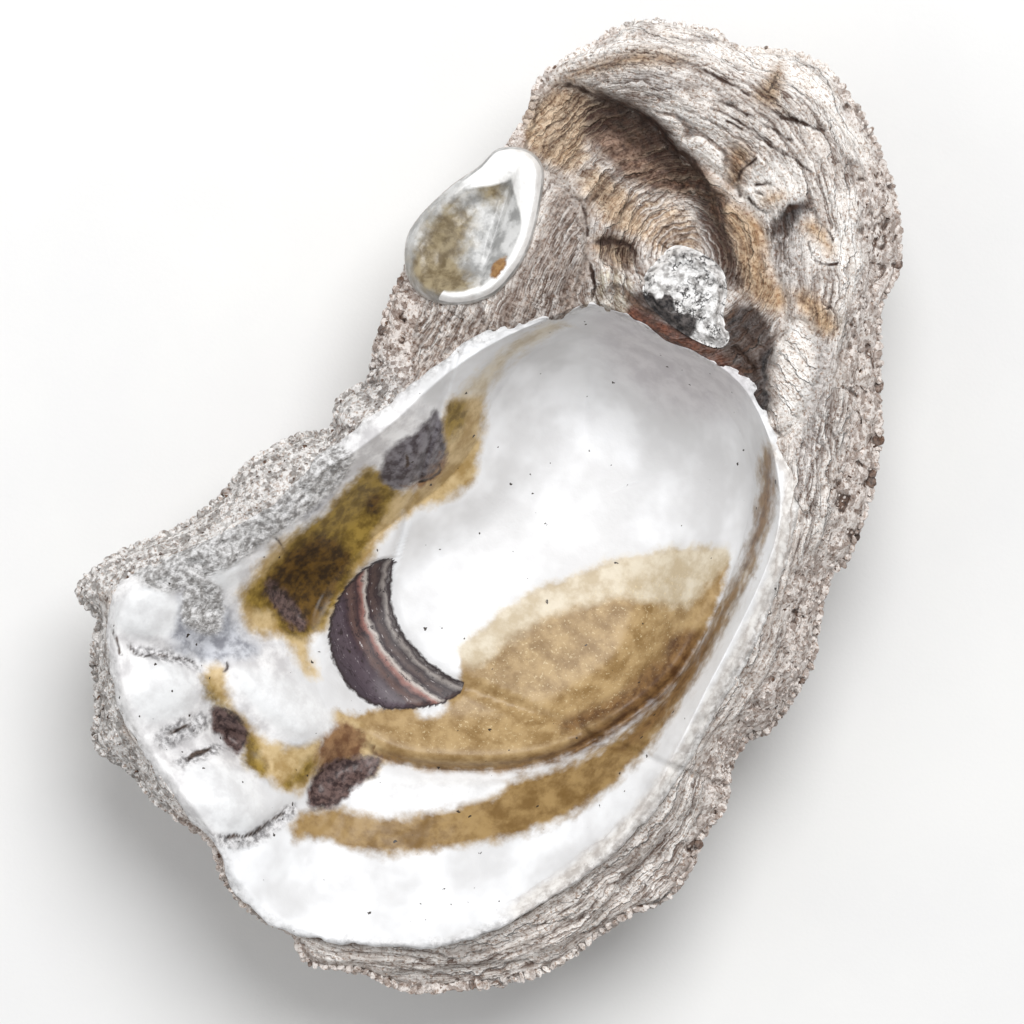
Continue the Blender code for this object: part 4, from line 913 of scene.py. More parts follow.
def makeLining():
    pole = shell["pole"]
    bearings = spreadBearings(pole, liningEdge, lining["around"])
    floorShares, wallShares = evenShares(lining["floorRings"]), evenShares(lining["wallRings"])
    plan = planRings(pole, bearings, [(fold, floorShares), (liningEdge, wallShares)])
    spread = np.concatenate([0 * floorShares, wallShares**3])[:, None, None]
    out = outwardFrom(pole, plan[-1])
    x, y = plan[-1].T
    plan = plan + spread * out * (lining["ragged"] * fractal(x, y, 3.0, 3, 5))[:, None]
    shape = plan.shape[:2]
    x, y = plan.reshape(-1, 2).T
    height, toEdge, outside = upperFace(x, y)
    outward, (step,), _ = plates[0].measure(x, y)
    ragged = outward + 0.35 * fractal(x, y, 3.0, 3, 40)
    reach = step * ease(2.0 - np.abs(outward) / 4.0)
    height += reach * ease(0.5 + ragged / shell["plateStep"])      # the top layer has no step of its own
    inFold, _, _ = fold.measure(x, y)
    inEdge = liningEdge.measure(x, y)[0]
    marks = {name: inPatches(x, y, patches) for name, patches in liningMarks.items()}
    dark = inDarkLines(x, y, liningCracks)
    grit = ease(0.5 + inPatches(x, y, gritZones, 3.0) / 2.5)
    grit = np.maximum(grit, 0.55 * ease(-inFold / 3.0) * ease((3.0 - inEdge) / 4.0))
    rimness = ease(-inFold / 4.0)
    height += 0.1 * fractal(x, y, 8.0, 3, 3) + 0.28 * rimness * fractal(x, y, 3.4, 4, 4)
    height += grit * (0.7 * ridged(x, y, 2.4, 4, 6) - 0.35)
    height -= 0.4 * dark + 0.5 * ease(marks["purple"] / 1.5 + 0.3) * (0.4 + fractal(x, y, 1.8, 3, 8))
    height += 0.25 * ease(marks["snow"] / 2.0)
    height += 0.5 * ease(marks["glass"] / 1.2 + 0.3) * (ridged(x, y, 2.2, 3, 7) - 0.5)
    mark, (width,), along = muscle.measure(x, y)
    beyond = (along <= 0.3) | (along >= (len(muscle.points) - 1) * muscle.spacing - 0.3)
    scar = np.where(beyond, -2.0, np.minimum(mark, width - mark))
    height += 0.07 * np.sin(2 * math.pi * (mark + 0.5 * fractal(x, y, 4.0, 2, 9)) / 1.3) * ease(scar / 0.6)
    edgeHeight = lining["edgeHeight"] * ease((20.0 - y) / 8.0) + lining["hingeHeight"]
    top = height + edgeHeight * ease((5.0 - inEdge) / 5.0)
    under = height - reach - lining["thickness"] - 1.8 * ease(inEdge / 3.0)
    # Painted shade: the floor greys towards the hinge wall
    hinge = ease((12.0 - np.hypot((x - 8.0) / 1.6, y - 25.5)) / 9.0)
    hazy = rimness * (0.25 + 0.75 * ease((-6.0 - x) / 8.0)) * ease((8.0 - y) / 8.0)
    growth, _, _, _ = growthCoordinates(x, y)
    margin = ease((3.6 - inEdge) / 3.0) * ease((x - 14.0) / 8.0)
    margin = margin * ease((y + 52.0) / 8.0) * ease((23.0 - y) / 5.0)
    attributes = {"dark": dark, "grit": grit, "grey": hinge, "hazy": hazy, "growth": growth,
                  "margin": margin, "scar": scar, "scarAcross": mark, **marks}
    top, under = top.reshape(shape), under.reshape(shape)
    rings = np.concatenate([plan, top[:, :, None]], axis=2)
    nose = plan[-1] + 0.25 * out
    wall = [np.column_stack([nose, top[-1] + (under[-1] - top[-1]) * part]) for part in (0.25, 0.6, 0.9)]
    picked = np.linspace(shape[0] - 1, 2, lining["underRings"]).astype(int)
    below = [np.column_stack([plan[ring], under[ring]]) for ring in picked]
    rings = np.concatenate([rings, np.array(wall + below)])
    order = ringOrder(shape[0], len(wall), picked)
    ringed = {name: values.reshape(shape)[order] for name, values in attributes.items()}
    return ringBody("cupLining", rings, ringed, nacre)


# The hood of growth layers round the beak
hood = {
    "pole": (3.0, 38.0),
    "around": 560,
    "rings": 146,
    "underRings": 8,
    "lowestY": 14.5,
    "thickness": 2.4,
    "ragged": 0.45,
    "layers": ((5.2, 1.0), (2.1, 0.5), (0.9, 0.2)),     # pitch and height
}

crustMarks = {
    "pale": [
        [(-24, 46), (-21.5, 52), (-17.5, 58), (-12, 60.5), (-8.5, 61.8), (-4, 61.6), (0, 64), (5, 65.3),
         (12, 63), (17, 60), (12, 59.8), (6, 60.5), (0, 60.6), (-7, 58.5), (-13, 56.8), (-18, 53),
         (-21.5, 47.5)],
        [(-10.5, 49.4), (-8, 50.8), (-4.5, 51.4), (-1, 49.8), (1.5, 47.8), (1.8, 45.7), (-1, 46),
         (-4.5, 47.2), (-8, 48.6)],
        [(5, 47), (5.5, 50.5), (9, 51.6), (12, 50), (11.5, 46.8), (9.5, 44.6), (6.5, 45.2)],
        [(14, 43.5), (16, 46.5), (19, 48), (20.5, 45), (18, 43.2)],
        [(15, 51.5), (19.5, 53.5), (24, 49.5), (26.2, 44), (26.6, 39.5), (23.5, 40), (20.5, 46.5),
         (17.5, 49)],
        [(-5.5, 63), (1, 65.4), (9, 65), (16.5, 61), (20, 57.6), (15, 57.2), (9, 59.6), (3, 60.4),
         (-3, 59.8)],
        [(19.5, 35.5), (23, 34), (26, 29), (27, 23), (24, 24), (21, 28), (19, 31.5)],
    ],
    "tooth": [
        [(-5.4, 28.4), (-3.6, 29.6), (-1.4, 29.2), (0.4, 27), (0.6, 25), (-2, 24.2), (-4.6, 23.6),
         (-4.6, 26)],
    ],
    "grey": [
        [(-14, 53), (-11, 54), (-8, 53.6), (-9, 51.6), (-12, 51), (-15, 51)],
        [(9.5, 45), (11.5, 48.4), (13.5, 47), (15.5, 43), (17, 39.5), (14, 38.5), (10.5, 42.4)],
        [(17, 40.5), (22, 38.5), (27, 31), (30, 24), (31, 16), (29, 17), (26.5, 23), (24, 30), (21, 35)],
    ],
    "ashen": [
        [(-16, 35.6), (-11, 34), (-8, 30), (-5.2, 26), (-4.6, 22.5), (-8, 17.5), (-13, 11.5), (-18, 4.5),
         (-23, 0), (-26, 5), (-27, 14), (-21, 14), (-15.5, 17), (-14, 24), (-14.6, 30)],
        [(12.5, 35), (17, 34), (19, 30), (19.5, 26.5), (17, 27.5), (14, 31)],
    ],
    "golden": [
        [(-1, 46), (4, 44.5), (9, 44), (13, 39.5), (17, 37), (16, 34.8), (11, 35.4), (8, 38), (4, 40.5),
         (0, 43)],
        [(17, 38.5), (20, 39.5), (24, 37.5), (23, 35.5), (19, 36.5)],
        [(-22.5, 45.5), (-17, 47), (-15, 42), (-15, 37.5), (-22.5, 38)],
        [(-12, 39.5), (-8, 39), (-3, 36), (-6, 34), (-12, 36.5)],
        [(7.6, 46.4), (8.4, 47.8), (9.6, 48.5), (9.9, 47.6), (8.6, 46.4)],
        [(13.6, 46), (14.4, 47.4), (16.6, 47), (18.6, 45.4), (18, 44.8), (15.6, 45.4)],
    ],
    "brown": [
        [(-21.5, 46.6), (-18, 50), (-14, 53.2), (-9.5, 55.8), (-10, 57.2), (-15, 55.2), (-19.5, 51),
         (-22.3, 47.4)],
        [(0, 57), (0.3, 60.5), (1, 63), (2.6, 61), (3.6, 58), (5, 57.4), (2, 56.6)],
        [(0.6, 49.6), (1.4, 51.4), (3.8, 51), (4.6, 47.5), (3.6, 45), (2.4, 46)],
        # painted shade below the hood's lip
        [(-21, 46), (-17, 47.6), (-12, 48), (-6, 46.6), (-1, 45.4), (-5, 44.6), (-12, 45.4), (-18, 44.6)],
        [(-8.5, 30.5), (-7.5, 33), (-4, 34), (-2, 31.5), (-4, 29.6)],
    ],
    "purple": [
        [(-16.5, 46.5), (-10, 47), (-3, 45.8), (0, 42.6), (-4, 41), (-8, 40.4), (-12, 41.2), (-16, 42.4)],
        [(-5, 46.5), (0, 46), (4.5, 42.5), (9, 38), (8, 36.6), (4, 40), (0, 42.6), (-4, 43.6)],
    ],
    "sandy": [
        [(-15, 40.5), (-10, 39.4), (-5, 40), (0, 40.4), (4, 37.6), (2.6, 35.2), (-0.5, 34.4), (-3.5, 34.6),
         (-8, 34), (-13, 36.4), (-16, 38)],
        [(-22, 44), (-18.5, 45.4), (-16.5, 42), (-18, 38.6), (-22, 40)],
    ],
    "darkPatchAndShadow": [
        # the first patch is painted shadow under the hood's lip
        [(-17, 47.4), (-12, 48.5), (-8, 48.3), (-4.5, 46.8), (0, 45.1), (4, 42.4), (8, 39), (10.4, 36.2),
         (8.4, 35.8), (4, 39.2), (0, 42.4), (-4, 43.9), (-8, 44.8), (-13, 44.8), (-16, 43.6)],
        [(-6.8, 33.2), (-4, 33.4), (-2.2, 31.8), (-4.2, 31.6), (-6.4, 31.9)],
        [(13, 29), (16, 29.4), (19.6, 26), (20.2, 23.6), (18.4, 25.4), (14, 28)],
    ],
    "rust": [
        [(0.5, 25), (0.6, 27.6), (4, 27.2), (9, 27.6), (13, 28.6), (17, 27.4), (18, 26), (12, 25.4),
         (6, 25)],
    ],
    "sooty": [
        [(11.5, 28.5), (12, 33.5), (15, 33.8), (18, 31), (19, 27.5), (21.5, 24.5), (20.5, 22.8), (17, 26.4),
         (13, 27.5)],
        [(0, 27.4), (1, 29.6), (6, 29.6), (12, 30), (12.5, 28.2), (6, 27.4)],
        [(10.8, 43.4), (10.8, 46), (11.5, 48), (13, 48.8), (12.4, 46.8), (12.2, 44.4)],
    ],
}

crustCracksAndShadowLines = [
    # the first two lines are painted shadow along the hood's lip
    (0.45, [(-22, 46.2), (-20, 47.3), (-15, 47.7), (-10, 47.8), (-7, 47), (-4.5, 46.3), (-2, 45.9),
            (0, 44.8)]),
    (0.35, [(-5.5, 46.6), (-3, 46.6), (-1, 45.8), (1, 44.8), (3, 43.5), (5, 41.5), (6, 40), (8, 38),
            (9.5, 36.8)]),
    (0.4, [(-5, 54.2), (0, 54.8), (8, 54.6)]),
    (0.32, [(-4.5, 53.3), (2, 53.4), (12, 52.5)]),
    (0.28, [(-2, 52.7), (3, 52.9), (8, 52.6)]),
    (0.45, [(0, 57), (4, 56.6), (8, 57.4), (11, 58.4)]),
    (0.35, [(-12, 55), (-8, 56.8), (-3, 57), (0.5, 57)]),
    (0.45, [(11.2, 44.8), (11, 46.4), (11.6, 47.9), (12.6, 48.6)]),
    (0.55, [(13.4, 44.4), (13.5, 44.5), (13.6, 44.6), (13.7, 44.7)]),
    (0.35, [(16.5, 53.8), (17, 54.9), (18.5, 55.5)]),
    (0.3, [(19.5, 55), (20.2, 55.6), (20.8, 56)]),
    (0.22, [(24.2, 48.4), (25, 48.4), (26.3, 48.3)]),
    (0.3, [(-13.5, 58.2), (-12.5, 58.6), (-11, 59.3)]),
    (0.4, [(-16, 35.8), (-14, 35.2), (-12, 34.8), (-10.5, 33.5), (-9.3, 32), (-8.6, 30.8)]),
    (0.4, [(-8.3, 29.5), (-6.5, 28), (-5.3, 26.5), (-4.6, 25.2), (-4.4, 23.5), (-5.5, 22)]),
    (0.5, [(-8, 30.2), (-7.5, 31.5), (-6.5, 32.6), (-4.5, 33.2), (-3, 32.8), (-2, 31.5)]),
    (0.6, [(-6, 32.2), (-4.5, 32), (-3, 31.8)]),
    (0.35, [(21.5, 24.5), (21.6, 23), (22.2, 21.8)]),
    (0.3, [(22, 21.6), (23.5, 22.2), (25.2, 22)]),
    (0.4, [(1, 57.5), (1.6, 59.5), (1.2, 62)]),
    (0.35, [(18.6, 31.5), (18.4, 33), (19.2, 34.6)]),
    (0.3, [(-19.8, 51.2), (-20.2, 51.4), (-20.4, 52)]),
    # the widest painted shadow line, under the lip
    (0.9, [(-15.4, 47.2), (-12, 47.7), (-8, 47.4), (-5, 46.6)]),
    (0.36, [(5.3, 46.9), (6.3, 48), (7.6, 48.6), (9.7, 48.5)]),
    (0.28, [(5.7, 46.6), (6.8, 46.9), (8.2, 47.2)]),
    (0.36, [(5.3, 46.4), (6.4, 45.7), (7.7, 45.2), (9.2, 45.6), (9.9, 46.6)]),
    (0.28, [(14.8, 45.4), (16, 44), (17.5, 43.1), (19.5, 43.8), (20.2, 44.8)]),
    (0.28, [(14.2, 46.8), (15.5, 47.4), (17.2, 46.9), (18.4, 45.7)]),
    (0.3, [(4.5, 51.4), (4.3, 50), (3.6, 48.4), (4.2, 46.6), (5.6, 45)]),
    (0.5, [(12, 31), (13.5, 31.2), (15, 30.6), (16.6, 29.4)]),
    (0.4, [(13.5, 29.4), (15, 28.4), (17, 27.8), (18.4, 26.6)]),
]


# How far in from the edge the shell is craggy: x, y and millimetres
cragReach = DrawnLine([(5, 65, 0.6), (16, 60.3, 2.5), (25, 51, 6.5), (27, 43, 5), (32.5, 33, 5),
    (38, 21, 5.5), (39.3, 12, 5.5), (42, -1, 5), (42, -10, 5), (40, -16, 4), (41.5, -25, 3), (41, -36, 2.2),
    (35.6, -45, 1.2), (29, -55, 1), (18.8, -62, 1.2), (6.3, -65.3, 1.2), (-8.5, -61, 1.5), (-20, -57.3, 3),
    (-30.5, -55, 4), (-36.7, -45, 3.5), (-42, -38, 3), (-36, -28, 6), (-32, -18, 7), (-26, -6, 6),
    (-24, 2, 5), (-26.5, 13, 4), (-26, 27, 4), (-23.5, 37, 2), (-23.7, 46, 1.2), (-20.6, 52.4, 0.6),
    (-12, 60.2, 0.6), (-4, 61.6, 0.5)], closed=True)


# Sizes and heights of the crags, the crumbs on them, their wells, and the cracks
crags = {
    "lumpSize": 3.4, "lumpHeight": 0.65, "crumbSize": 1.5, "crumbHeight": 0.35,
    "wellSize": 1.2, "wellDepth": 0.6, "crackDepth": 0.5,
}


# Colour marks and growth relief that hood and outer side share
def crustRelief(x, y, toEdge, outside, layers):
    growth, along, rounded, calm = growthCoordinates(x, y)
    marks = {name: inPatches(x, y, patches) for name, patches in crustMarks.items()}
    dark = inDarkLines(x, y, crustCracksAndShadowLines)
    _, (craggy,), _ = cragReach.measure(x, y)
    crag = ease(0.5 + (craggy - 1.0 - toEdge + 1.6 * fractal(x, y, 6.0, 2, 61)) / 2.6)
    relief, seam = 0.0, 0.0
    for number, (pitch, height) in enumerate(layers):
        steps, underEdge = shingles(growth, along, pitch, 80 + 7 * number)
        relief = relief + height * steps * (1 - 0.45 * rounded)
        seam = np.maximum(seam, underEdge * (1 - 0.25 * number))
    raised = relief / sum(height for _, height in layers)
    relief = relief * (1 - 0.6 * crag) * (1 - 0.8 * calm) * ease(outside / 2.0)
    lumps = np.abs(fractal(x, y, crags["lumpSize"], 3, 90))
    lumps = np.minimum(lumps * 2.6, 1.0)     # rounded, with creases between
    crumbs = fractal(x, y, crags["crumbSize"], 4, 93)
    wells = ease((latticeNoise(x, y, crags["wellSize"], 97) - 0.46) / 0.25)
    wells = wells * ease((latticeNoise(x, y, 5.0, 98) + 0.2) / 0.4)
    rough = crags["lumpHeight"] * lumps**0.6 - 0.4 + crags["crumbHeight"] * crumbs
    rough = rough - crags["wellDepth"] * wells
    relief += crag * rough + 0.1 * fractal(x, y, 1.4, 3, 95)
    relief -= crags["crackDepth"] * dark
    silver = ease((-15.0 - x) / 5.0) * ease((9.0 - y) / 8.0)
    # Dirt and painted shade darken the creases between lumps, the wells, and under the layers' edges
    hollow = crag * np.maximum(0.9 * ease((0.2 - lumps) / 0.2), wells) * (1 - 0.4 * silver)
    warm = ease(0.4 + np.max([marks[name] for name in ("golden", "brown", "purple")], axis=0) / 2.0)
    seam = seam * (1 - 0.5 * crag) * (1 - calm) * ease(outside / 2.0)
    return relief, {"growth": growth, "along": along, "crag": crag, "dark": dark, "hollow": hollow,
                    "warm": warm, "seam": seam, "silver": silver, "calm": calm, "raised": raised, **marks}


# Where the hood ends under the cup's lining, from right to left
hoodFront = [(32.5, 14.6), (28.3, 17), (26.5, 18.2), (24, 19.6), (21.5, 21.6), (19, 23.2), (15.8, 24.6),
    (12, 24.2), (6, 23.7), (0.5, 23.6), (-2.5, 23), (-4.5, 21), (-8, 18.5), (-12.5, 14.8), (-20, 14.5)]


def makeHood():
    pole = hood["pole"]
    rim = outline.points[outline.points[:, 1] > hood["lowestY"]]
    rim = rim[np.argsort(-np.arctan2(rim[:, 1] - 20.0, rim[:, 0] - 6.0))]
    border = DrawnLine(np.vstack([rim, hoodFront]), closed=True, smooth=False)
    bearings = spreadBearings(pole, border, hood["around"])
    shares = evenShares(hood["rings"])
    plan = planRings(pole, bearings, [(border, shares)])
    out = outwardFrom(pole, plan[-1])
    x, y = plan[-1].T
    free = ease((y - hood["lowestY"]) / 2.0) * ease((3.0 - outline.measure(x, y)[0]) / 2.0)
    shift = free * hood["ragged"] * fractal(x, y, 4.0, 4, 15) - 0.4 * (1 - free)
    plan = plan + (shares**3)[:, None, None] * out * shift[:, None]
    shape = plan.shape[:2]
    x, y = plan.reshape(-1, 2).T
    height, toEdge, outside = upperFace(x, y)
    relief, attributes = crustRelief(x, y, toEdge, outside, hood["layers"])
    hidden = liningEdge.measure(x, y)[0]
    height += relief - 2.6 * ease((hidden - 0.3) / 1.5)
    height -= 0.6 * (1 - ease((y - hood["lowestY"]) / 1.2))
    height -= 0.5 * ease((0.8 - toEdge) / 0.8)     # the edge is a little rounded
    top = settled(height).reshape(shape)
    rings = np.concatenate([plan, top[:, :, None]], axis=2)
    wall = []
    for part in np.linspace(0.0, 1.0, 8)[1:]:
        strata = 0.28 * fractal(bearings * 20.0, part * 2.4 * np.ones_like(bearings), 0.9, 3, 17) * free
        bulge = 0.35 * math.sin(math.pi * part) - 0.1
        edge = plan[-1] + out * (strata + bulge * free)[:, None]
        wall.append(np.column_stack([edge, top[-1] - hood["thickness"] * part]))
    picked = np.linspace(shape[0] - 4, 2, hood["underRings"]).astype(int)
    below = [np.column_stack([plan[ring], top[ring] - hood["thickness"]]) for ring in picked]
    rings = np.concatenate([rings, np.array(wall + below)])
    order = ringOrder(shape[0], len(wall), picked)
    ringed = {name: values.reshape(shape)[order] for name, values in attributes.items()}
    for row in range(len(wall)):
        ringed["growth"][shape[0] + row] += (row + 1) / len(wall) * hood["thickness"]
    return ringBody("beakHood", rings, ringed, crust)


# The outer side and the underside
outer = {
    "around": 900,
    "hiddenShares": (0.2, 0.38, 0.52, 0.63, 0.72, 0.8, 0.86, 0.92, 0.97),
    "flankRings": 24,
    "wallRings": 12,
    "underRings": 54,
    "ragged": 0.45,
    "underLayers": ((3.2, 0.55), (1.1, 0.22)),
    "sideLayers": ((1.5, 0.35), (0.6, 0.14)),
}


def makeOuter():
    pole = shell["pole"]

    def closeness(x, y):      # fewer points under the hood
        return np.where(y > hood["lowestY"], 0.62, 1.0)

    bearings = spreadBearings(pole, outline, outer["around"], closeness)
    hiddenShares = outer["hiddenShares"]
    flankShares = evenShares(outer["flankRings"])
    plan = planRings(pole, bearings, [(liningEdge, hiddenShares), (outline, flankShares)])
    out = outwardFrom(pole, plan[-1])
    x, y = plan[-1].T
    underHood = ease((y - hood["lowestY"] - 1.0) / 2.0)
    shift = outer["ragged"] * fractal(x, y, 4.0, 4, 15) - 0.5 * underHood
    spread = np.concatenate([np.zeros(len(hiddenShares)), flankShares**2])[:, None, None]
    plan = plan + spread * out * shift[:, None]
    shape = plan.shape[:2]
    x, y = plan.reshape(-1, 2).T
    height, toEdge, outside = upperFace(x, y)
    relief, attributes = crustRelief(x, y, toEdge, outside, outer["sideLayers"])
    hidden = liningEdge.measure(x, y)[0]
    height += relief - 3.6 * ease((hidden - 0.3) / 2.0)
    height -= 1.8 * ease((y - hood["lowestY"] - 1.0) / 2.0)
    height -= 0.5 * ease((0.8 - toEdge) / 0.8)
    top = height.reshape(shape)
    rings = [np.column_stack([ring, level]) for ring, level in zip(plan, top)]
    keyed = {name: list(values.reshape(shape)) for name, values in attributes.items()}
    # The wall, in ragged strata, and the rounded underside down to the scar
    ex, ey = plan[-1].T
    foot, _ = lowerFace(ex, ey)
    edgeAlong = keyed["along"][-1]
    for part in np.linspace(0.0, 1.0, outer["wallRings"] + 2)[1:-1]:
        level = top[-1] + (foot - top[-1]) * part
        strata = 0.5 * fractal(edgeAlong, level * 4.0, 3.0, 4, 18) - 0.15
        edge = plan[-1] + out * strata[:, None]
        rings.append(np.column_stack([edge, level]))
        for name in keyed:
            keyed[name].append(keyed[name][shape[0] - 1])
        keyed["growth"][-1] = keyed["growth"][shape[0] - 1] + (top[-1] - level)
    scarReach = scarLine.reach(bearings, pole)
    edgeReach = np.hypot(*(plan[-1] - pole).T)
    for share in np.concatenate([np.linspace(1.0, 0.0, outer["underRings"]), [-0.5, -0.9]]):
        radius = scarReach + (edgeReach - scarReach) * share if share >= 0 else scarReach * (1 + share)
        x, y = pole[0] + radius * np.cos(bearings), pole[1] + radius * np.sin(bearings)
        level, beyond = lowerFace(x, y)
        for number, (pitch, amount) in enumerate(outer["underLayers"]):
            steps, underEdge = shingles(-beyond, bearings * 30.0, pitch, 120 + 5 * number)
            level = level + amount * steps * ease(beyond / 3.0)
            seam = underEdge * ease(beyond / 3.0) if number == 0 else seam
        level = level + 0.25 * ease(beyond / 2.0) * (fractal(x, y, 2.0, 4, 130) + 0.6)
        rings.append(np.column_stack([x, y, level]))
        faded = {name: np.full(len(x), -6.0) for name in crustMarks}
        faded |= {name: 0 * x for name in ("dark", "warm", "calm")}
        # hollow and seam darken the underside with dirt and painted shade
        faded |= {"growth": beyond, "along": bearings * 30.0, "crag": 0.45 * ease(beyond / 2.0),
                  "hollow": 0.3 * ridged(x, y, 5.0, 3, 131), "seam": 0.8 * seam, "silver": 0.5 + 0 * x,
                  "raised": steps}
        for name in keyed:
            keyed[name].append(faded[name])
    keyed = {name: np.array(values) for name, values in keyed.items()}
    return ringBody("outerShell", np.array(rings), keyed, crust)


# The young valve on the side
spat = {
    "around": 260, "rings": 70, "gap": 0.3, "rimHeight": 2.85, "dishDepth": 1.7, "rimRun": 3.4,
    "tones": ((142, 142, 141), (202, 202, 201)),
    # middle, radii, turn and height or strength, as for the swells
    "beakSwell": (-20.5, 34.5, 3.4, 2.6, 0.0, 0.8),
    "stains": ((-24.6, 22.5, 3.6, 6.0, 0.0, 1.0), (-22.0, 17.8, 5.0, 2.4, 10.0, 1.0)),
    "paleStain": (-22.5, 30.5, 2.5, 2.5, 0.0, 0.8),
    "rust": (-16.8, 22.5, 1.3, 2.6, 0.0, 1.0),
}

spatLine = DrawnLine([(-24.4, 35.4), (-21.5, 37.1), (-18.4, 36.2), (-16.3, 31.8), (-15, 27), (-14.9, 23),
    (-16, 19), (-19.4, 15.8), (-23.5, 14.9), (-26.4, 16.2), (-28.5, 19.6), (-28.7, 23), (-27.2, 28.2),
    (-25.4, 32.2)], closed=True)


def spatFinish():
    finish = Finish("youngNacre", 0.35, coat=0.3)
    colour = finish.mottled(finish.noise(2.4, 5.0, 0.6), 0.38, 0.62, spat["tones"])
    colour = finish.lay(colour, [
        ("stain", 0.1, 0.9, 1.8, 0.45, (102, 87, 60), (150, 136, 107), 1.6),
        ("rim", 0.35, 0.8, 1.6, 0.15, (244, 243, 241), (254, 254, 253), 2.0),
        ("rust", 0.55, 0.8, 0.6, 0.35, (122, 84, 44), (160, 122, 74), 0.6),
        ("outside", 0.3, 0.8, 1.0, 0.2, (150, 142, 134), (206, 200, 194), 1.0),
    ])
    height = finish.times(finish.noise(1.2, 5.0), 0.16)
    height = finish.calc("MULTIPLY_ADD", finish.noise(0.35, 3.0), 0.04, height)
    return finish.close(colour, height, finish.rise(finish.noise(2.0), 0.3, 0.7, 0.3, 0.5))


def makeSpat():
    pole, shape, (x, y) = discPlan(spatLine, spat["around"], spat["rings"])
    inward = spatLine.measure(x, y)[0]
    base, _, _ = upperFace(x, y)
    broad = 1.0 + 1.1 * ease((y - 28.0) / 6.0)     # the rim is broadest towards the young beak
    wobble = 0.5 * fractal(x, y, 3.0, 3, 33)
    rim = spat["rimHeight"] * ease(inward / 1.6 + 0.35)
    dish = spat["dishDepth"] * ease((inward - 1.2 * broad + wobble) / spat["rimRun"])
    top = base + 0.55 + rim - dish + swell(x, y, spat["beakSwell"])
    top += 0.12 * fractal(x, y, 2.2, 4, 35) + 0.1 * ease((1.5 - inward) / 1.5) * fractal(x, y, 1.0, 3, 36)
    stain = sum(swell(x, y, patch) for patch in spat["stains"])
    stain = np.maximum(stain, swell(x, y, spat["paleStain"]))
    rimShare = ease((2.4 * broad - inward + 0.6 * wobble) / 1.6) * ease(inward / 0.5 + 0.2)
    rimShare *= np.where(x < -21.5, 0.35 + 0.65 * ease((y - 27.0) / 6.0), 1.0)
    rust = swell(x, y, spat["rust"])
    values = {"stain": stain, "rim": rimShare, "rust": rust, "outside": 0 * x}
    grid = np.column_stack([x, y, top]).reshape(*shape, 3)
    low = np.column_stack([x, y, base + spat["gap"] - 0.9]).reshape(*shape, 3)
    wall = [grid[-1] + (low[-1] - grid[-1]) * part for part in (0.3, 0.65)]
    for ring, bulge in zip(wall, (0.22, 0.15)):
        ring[:, :2] += bulge * outwardFrom(pole, ring[:, :2])
    picked = np.linspace(shape[0] - 1, 2, 8).astype(int)
    rings = np.concatenate([grid, np.array(wall), low[picked]])
    order = ringOrder(shape[0], len(wall), picked)
    keyed = {name: value.reshape(shape)[order] for name, value in values.items()}
    keyed["outside"][shape[0]:] = 1.0
    return ringBody("youngValve", rings, keyed, spatFinish())


# The chalky rest of the ligament
ligament = {
    "around": 280, "rings": 66, "height": 2.3,
    "tones": ((158, 155, 153), (248, 247, 246)), "crackle": (48, 43, 42),
}

ligamentLine = DrawnLine([(0, 33.5), (1, 36.2), (4, 37), (7.4, 36.6), (9.5, 34.6), (10.8, 31.4),
    (12.8, 29.4), (12.2, 27.6), (8.6, 27), (4, 27.4), (0.8, 28.6), (-0.4, 31)], closed=True)
ligamentHoles = [
    (0.55, [(2.5, 33.6), (2.7, 33.7), (2.9, 33.6)]),
    (0.4, [(5.3, 36), (5.5, 36.1), (5.8, 36)]),
]


def chalkFinish():
    finish = Finish("chalk", 0.85)
    colour = finish.mottled(finish.noise(1.2, 5.0), 0.34, 0.58, ligament["tones"])
    crackle = finish.vein(finish.noise(1.5, 4.0, 0.6), 0.03)
    crackle = finish.times(crackle, finish.rise(finish.noise(2.2), 0.42, 0.6))
    colour = finish.mix(crackle, colour, tone(*ligament["crackle"]))
    colour = finish.lay(colour, [
        ("sooty", 0.3, 0.75, 1.0, 0.3, (34, 32, 34), (104, 98, 96), 0.7),
        ("dark", 0.2, 0.7, 0.5, 0.1, (22, 20, 20), (60, 54, 52), 0.4),
    ])
    height = finish.times(finish.noise(0.7, 6.0, 0.65), 0.5)
    height = finish.calc("MULTIPLY_ADD", crackle, -0.3, height)
    return finish.close(colour, height)


def makeLigament():
    _, shape, (x, y) = discPlan(ligamentLine, ligament["around"], ligament["rings"])
    inward = ligamentLine.measure(x, y)[0]
    base, _, _ = upperFace(x, y)
    dark = inDarkLines(x, y, ligamentHoles)
    crumbs = 0.55 * ridged(x, y, 1.7, 5, 140) + 0.3 * latticeNoise(x, y, 0.8, 141)
    top = base + 0.5 + ligament["height"] * ease(inward / 1.4) * (0.9 + 0.2 * fractal(x, y, 3.0, 2, 142))
    top += (crumbs - 0.35) * ease(inward / 0.8) - 1.2 * dark
    sooty = ease((30.4 - y + 1.6 * fractal(x, y, 2.0, 3, 143)) / 1.8) * ease((9.5 - x) / 2.0)
    grid = np.column_stack([x, y, top]).reshape(*shape, 3)
    low = np.column_stack([x, y, base - 0.4]).reshape(*shape, 3)
    picked = np.linspace(shape[0] - 1, 2, 6).astype(int)
    rings = np.concatenate([grid, low[picked]])
    order = ringOrder(shape[0], 0, picked)
    keyed = {name: value.reshape(shape)[order] for name, value in (("dark", dark), ("sooty", sooty))}
    return ringBody("ligamentChalk", rings, keyed, chalkFinish())


# Grains and flakes that Geometry Nodes scatter, in metres
grains = {"Density": 0.9e6, "Smallest": 0.0001, "Largest": 0.0004, "Seed": 7}     # to each square metre
flakes = {"Spacing": 0.0011, "Smallest": 0.0003, "Largest": 0.001, "Seed": 11}
fullTurn = 6.28


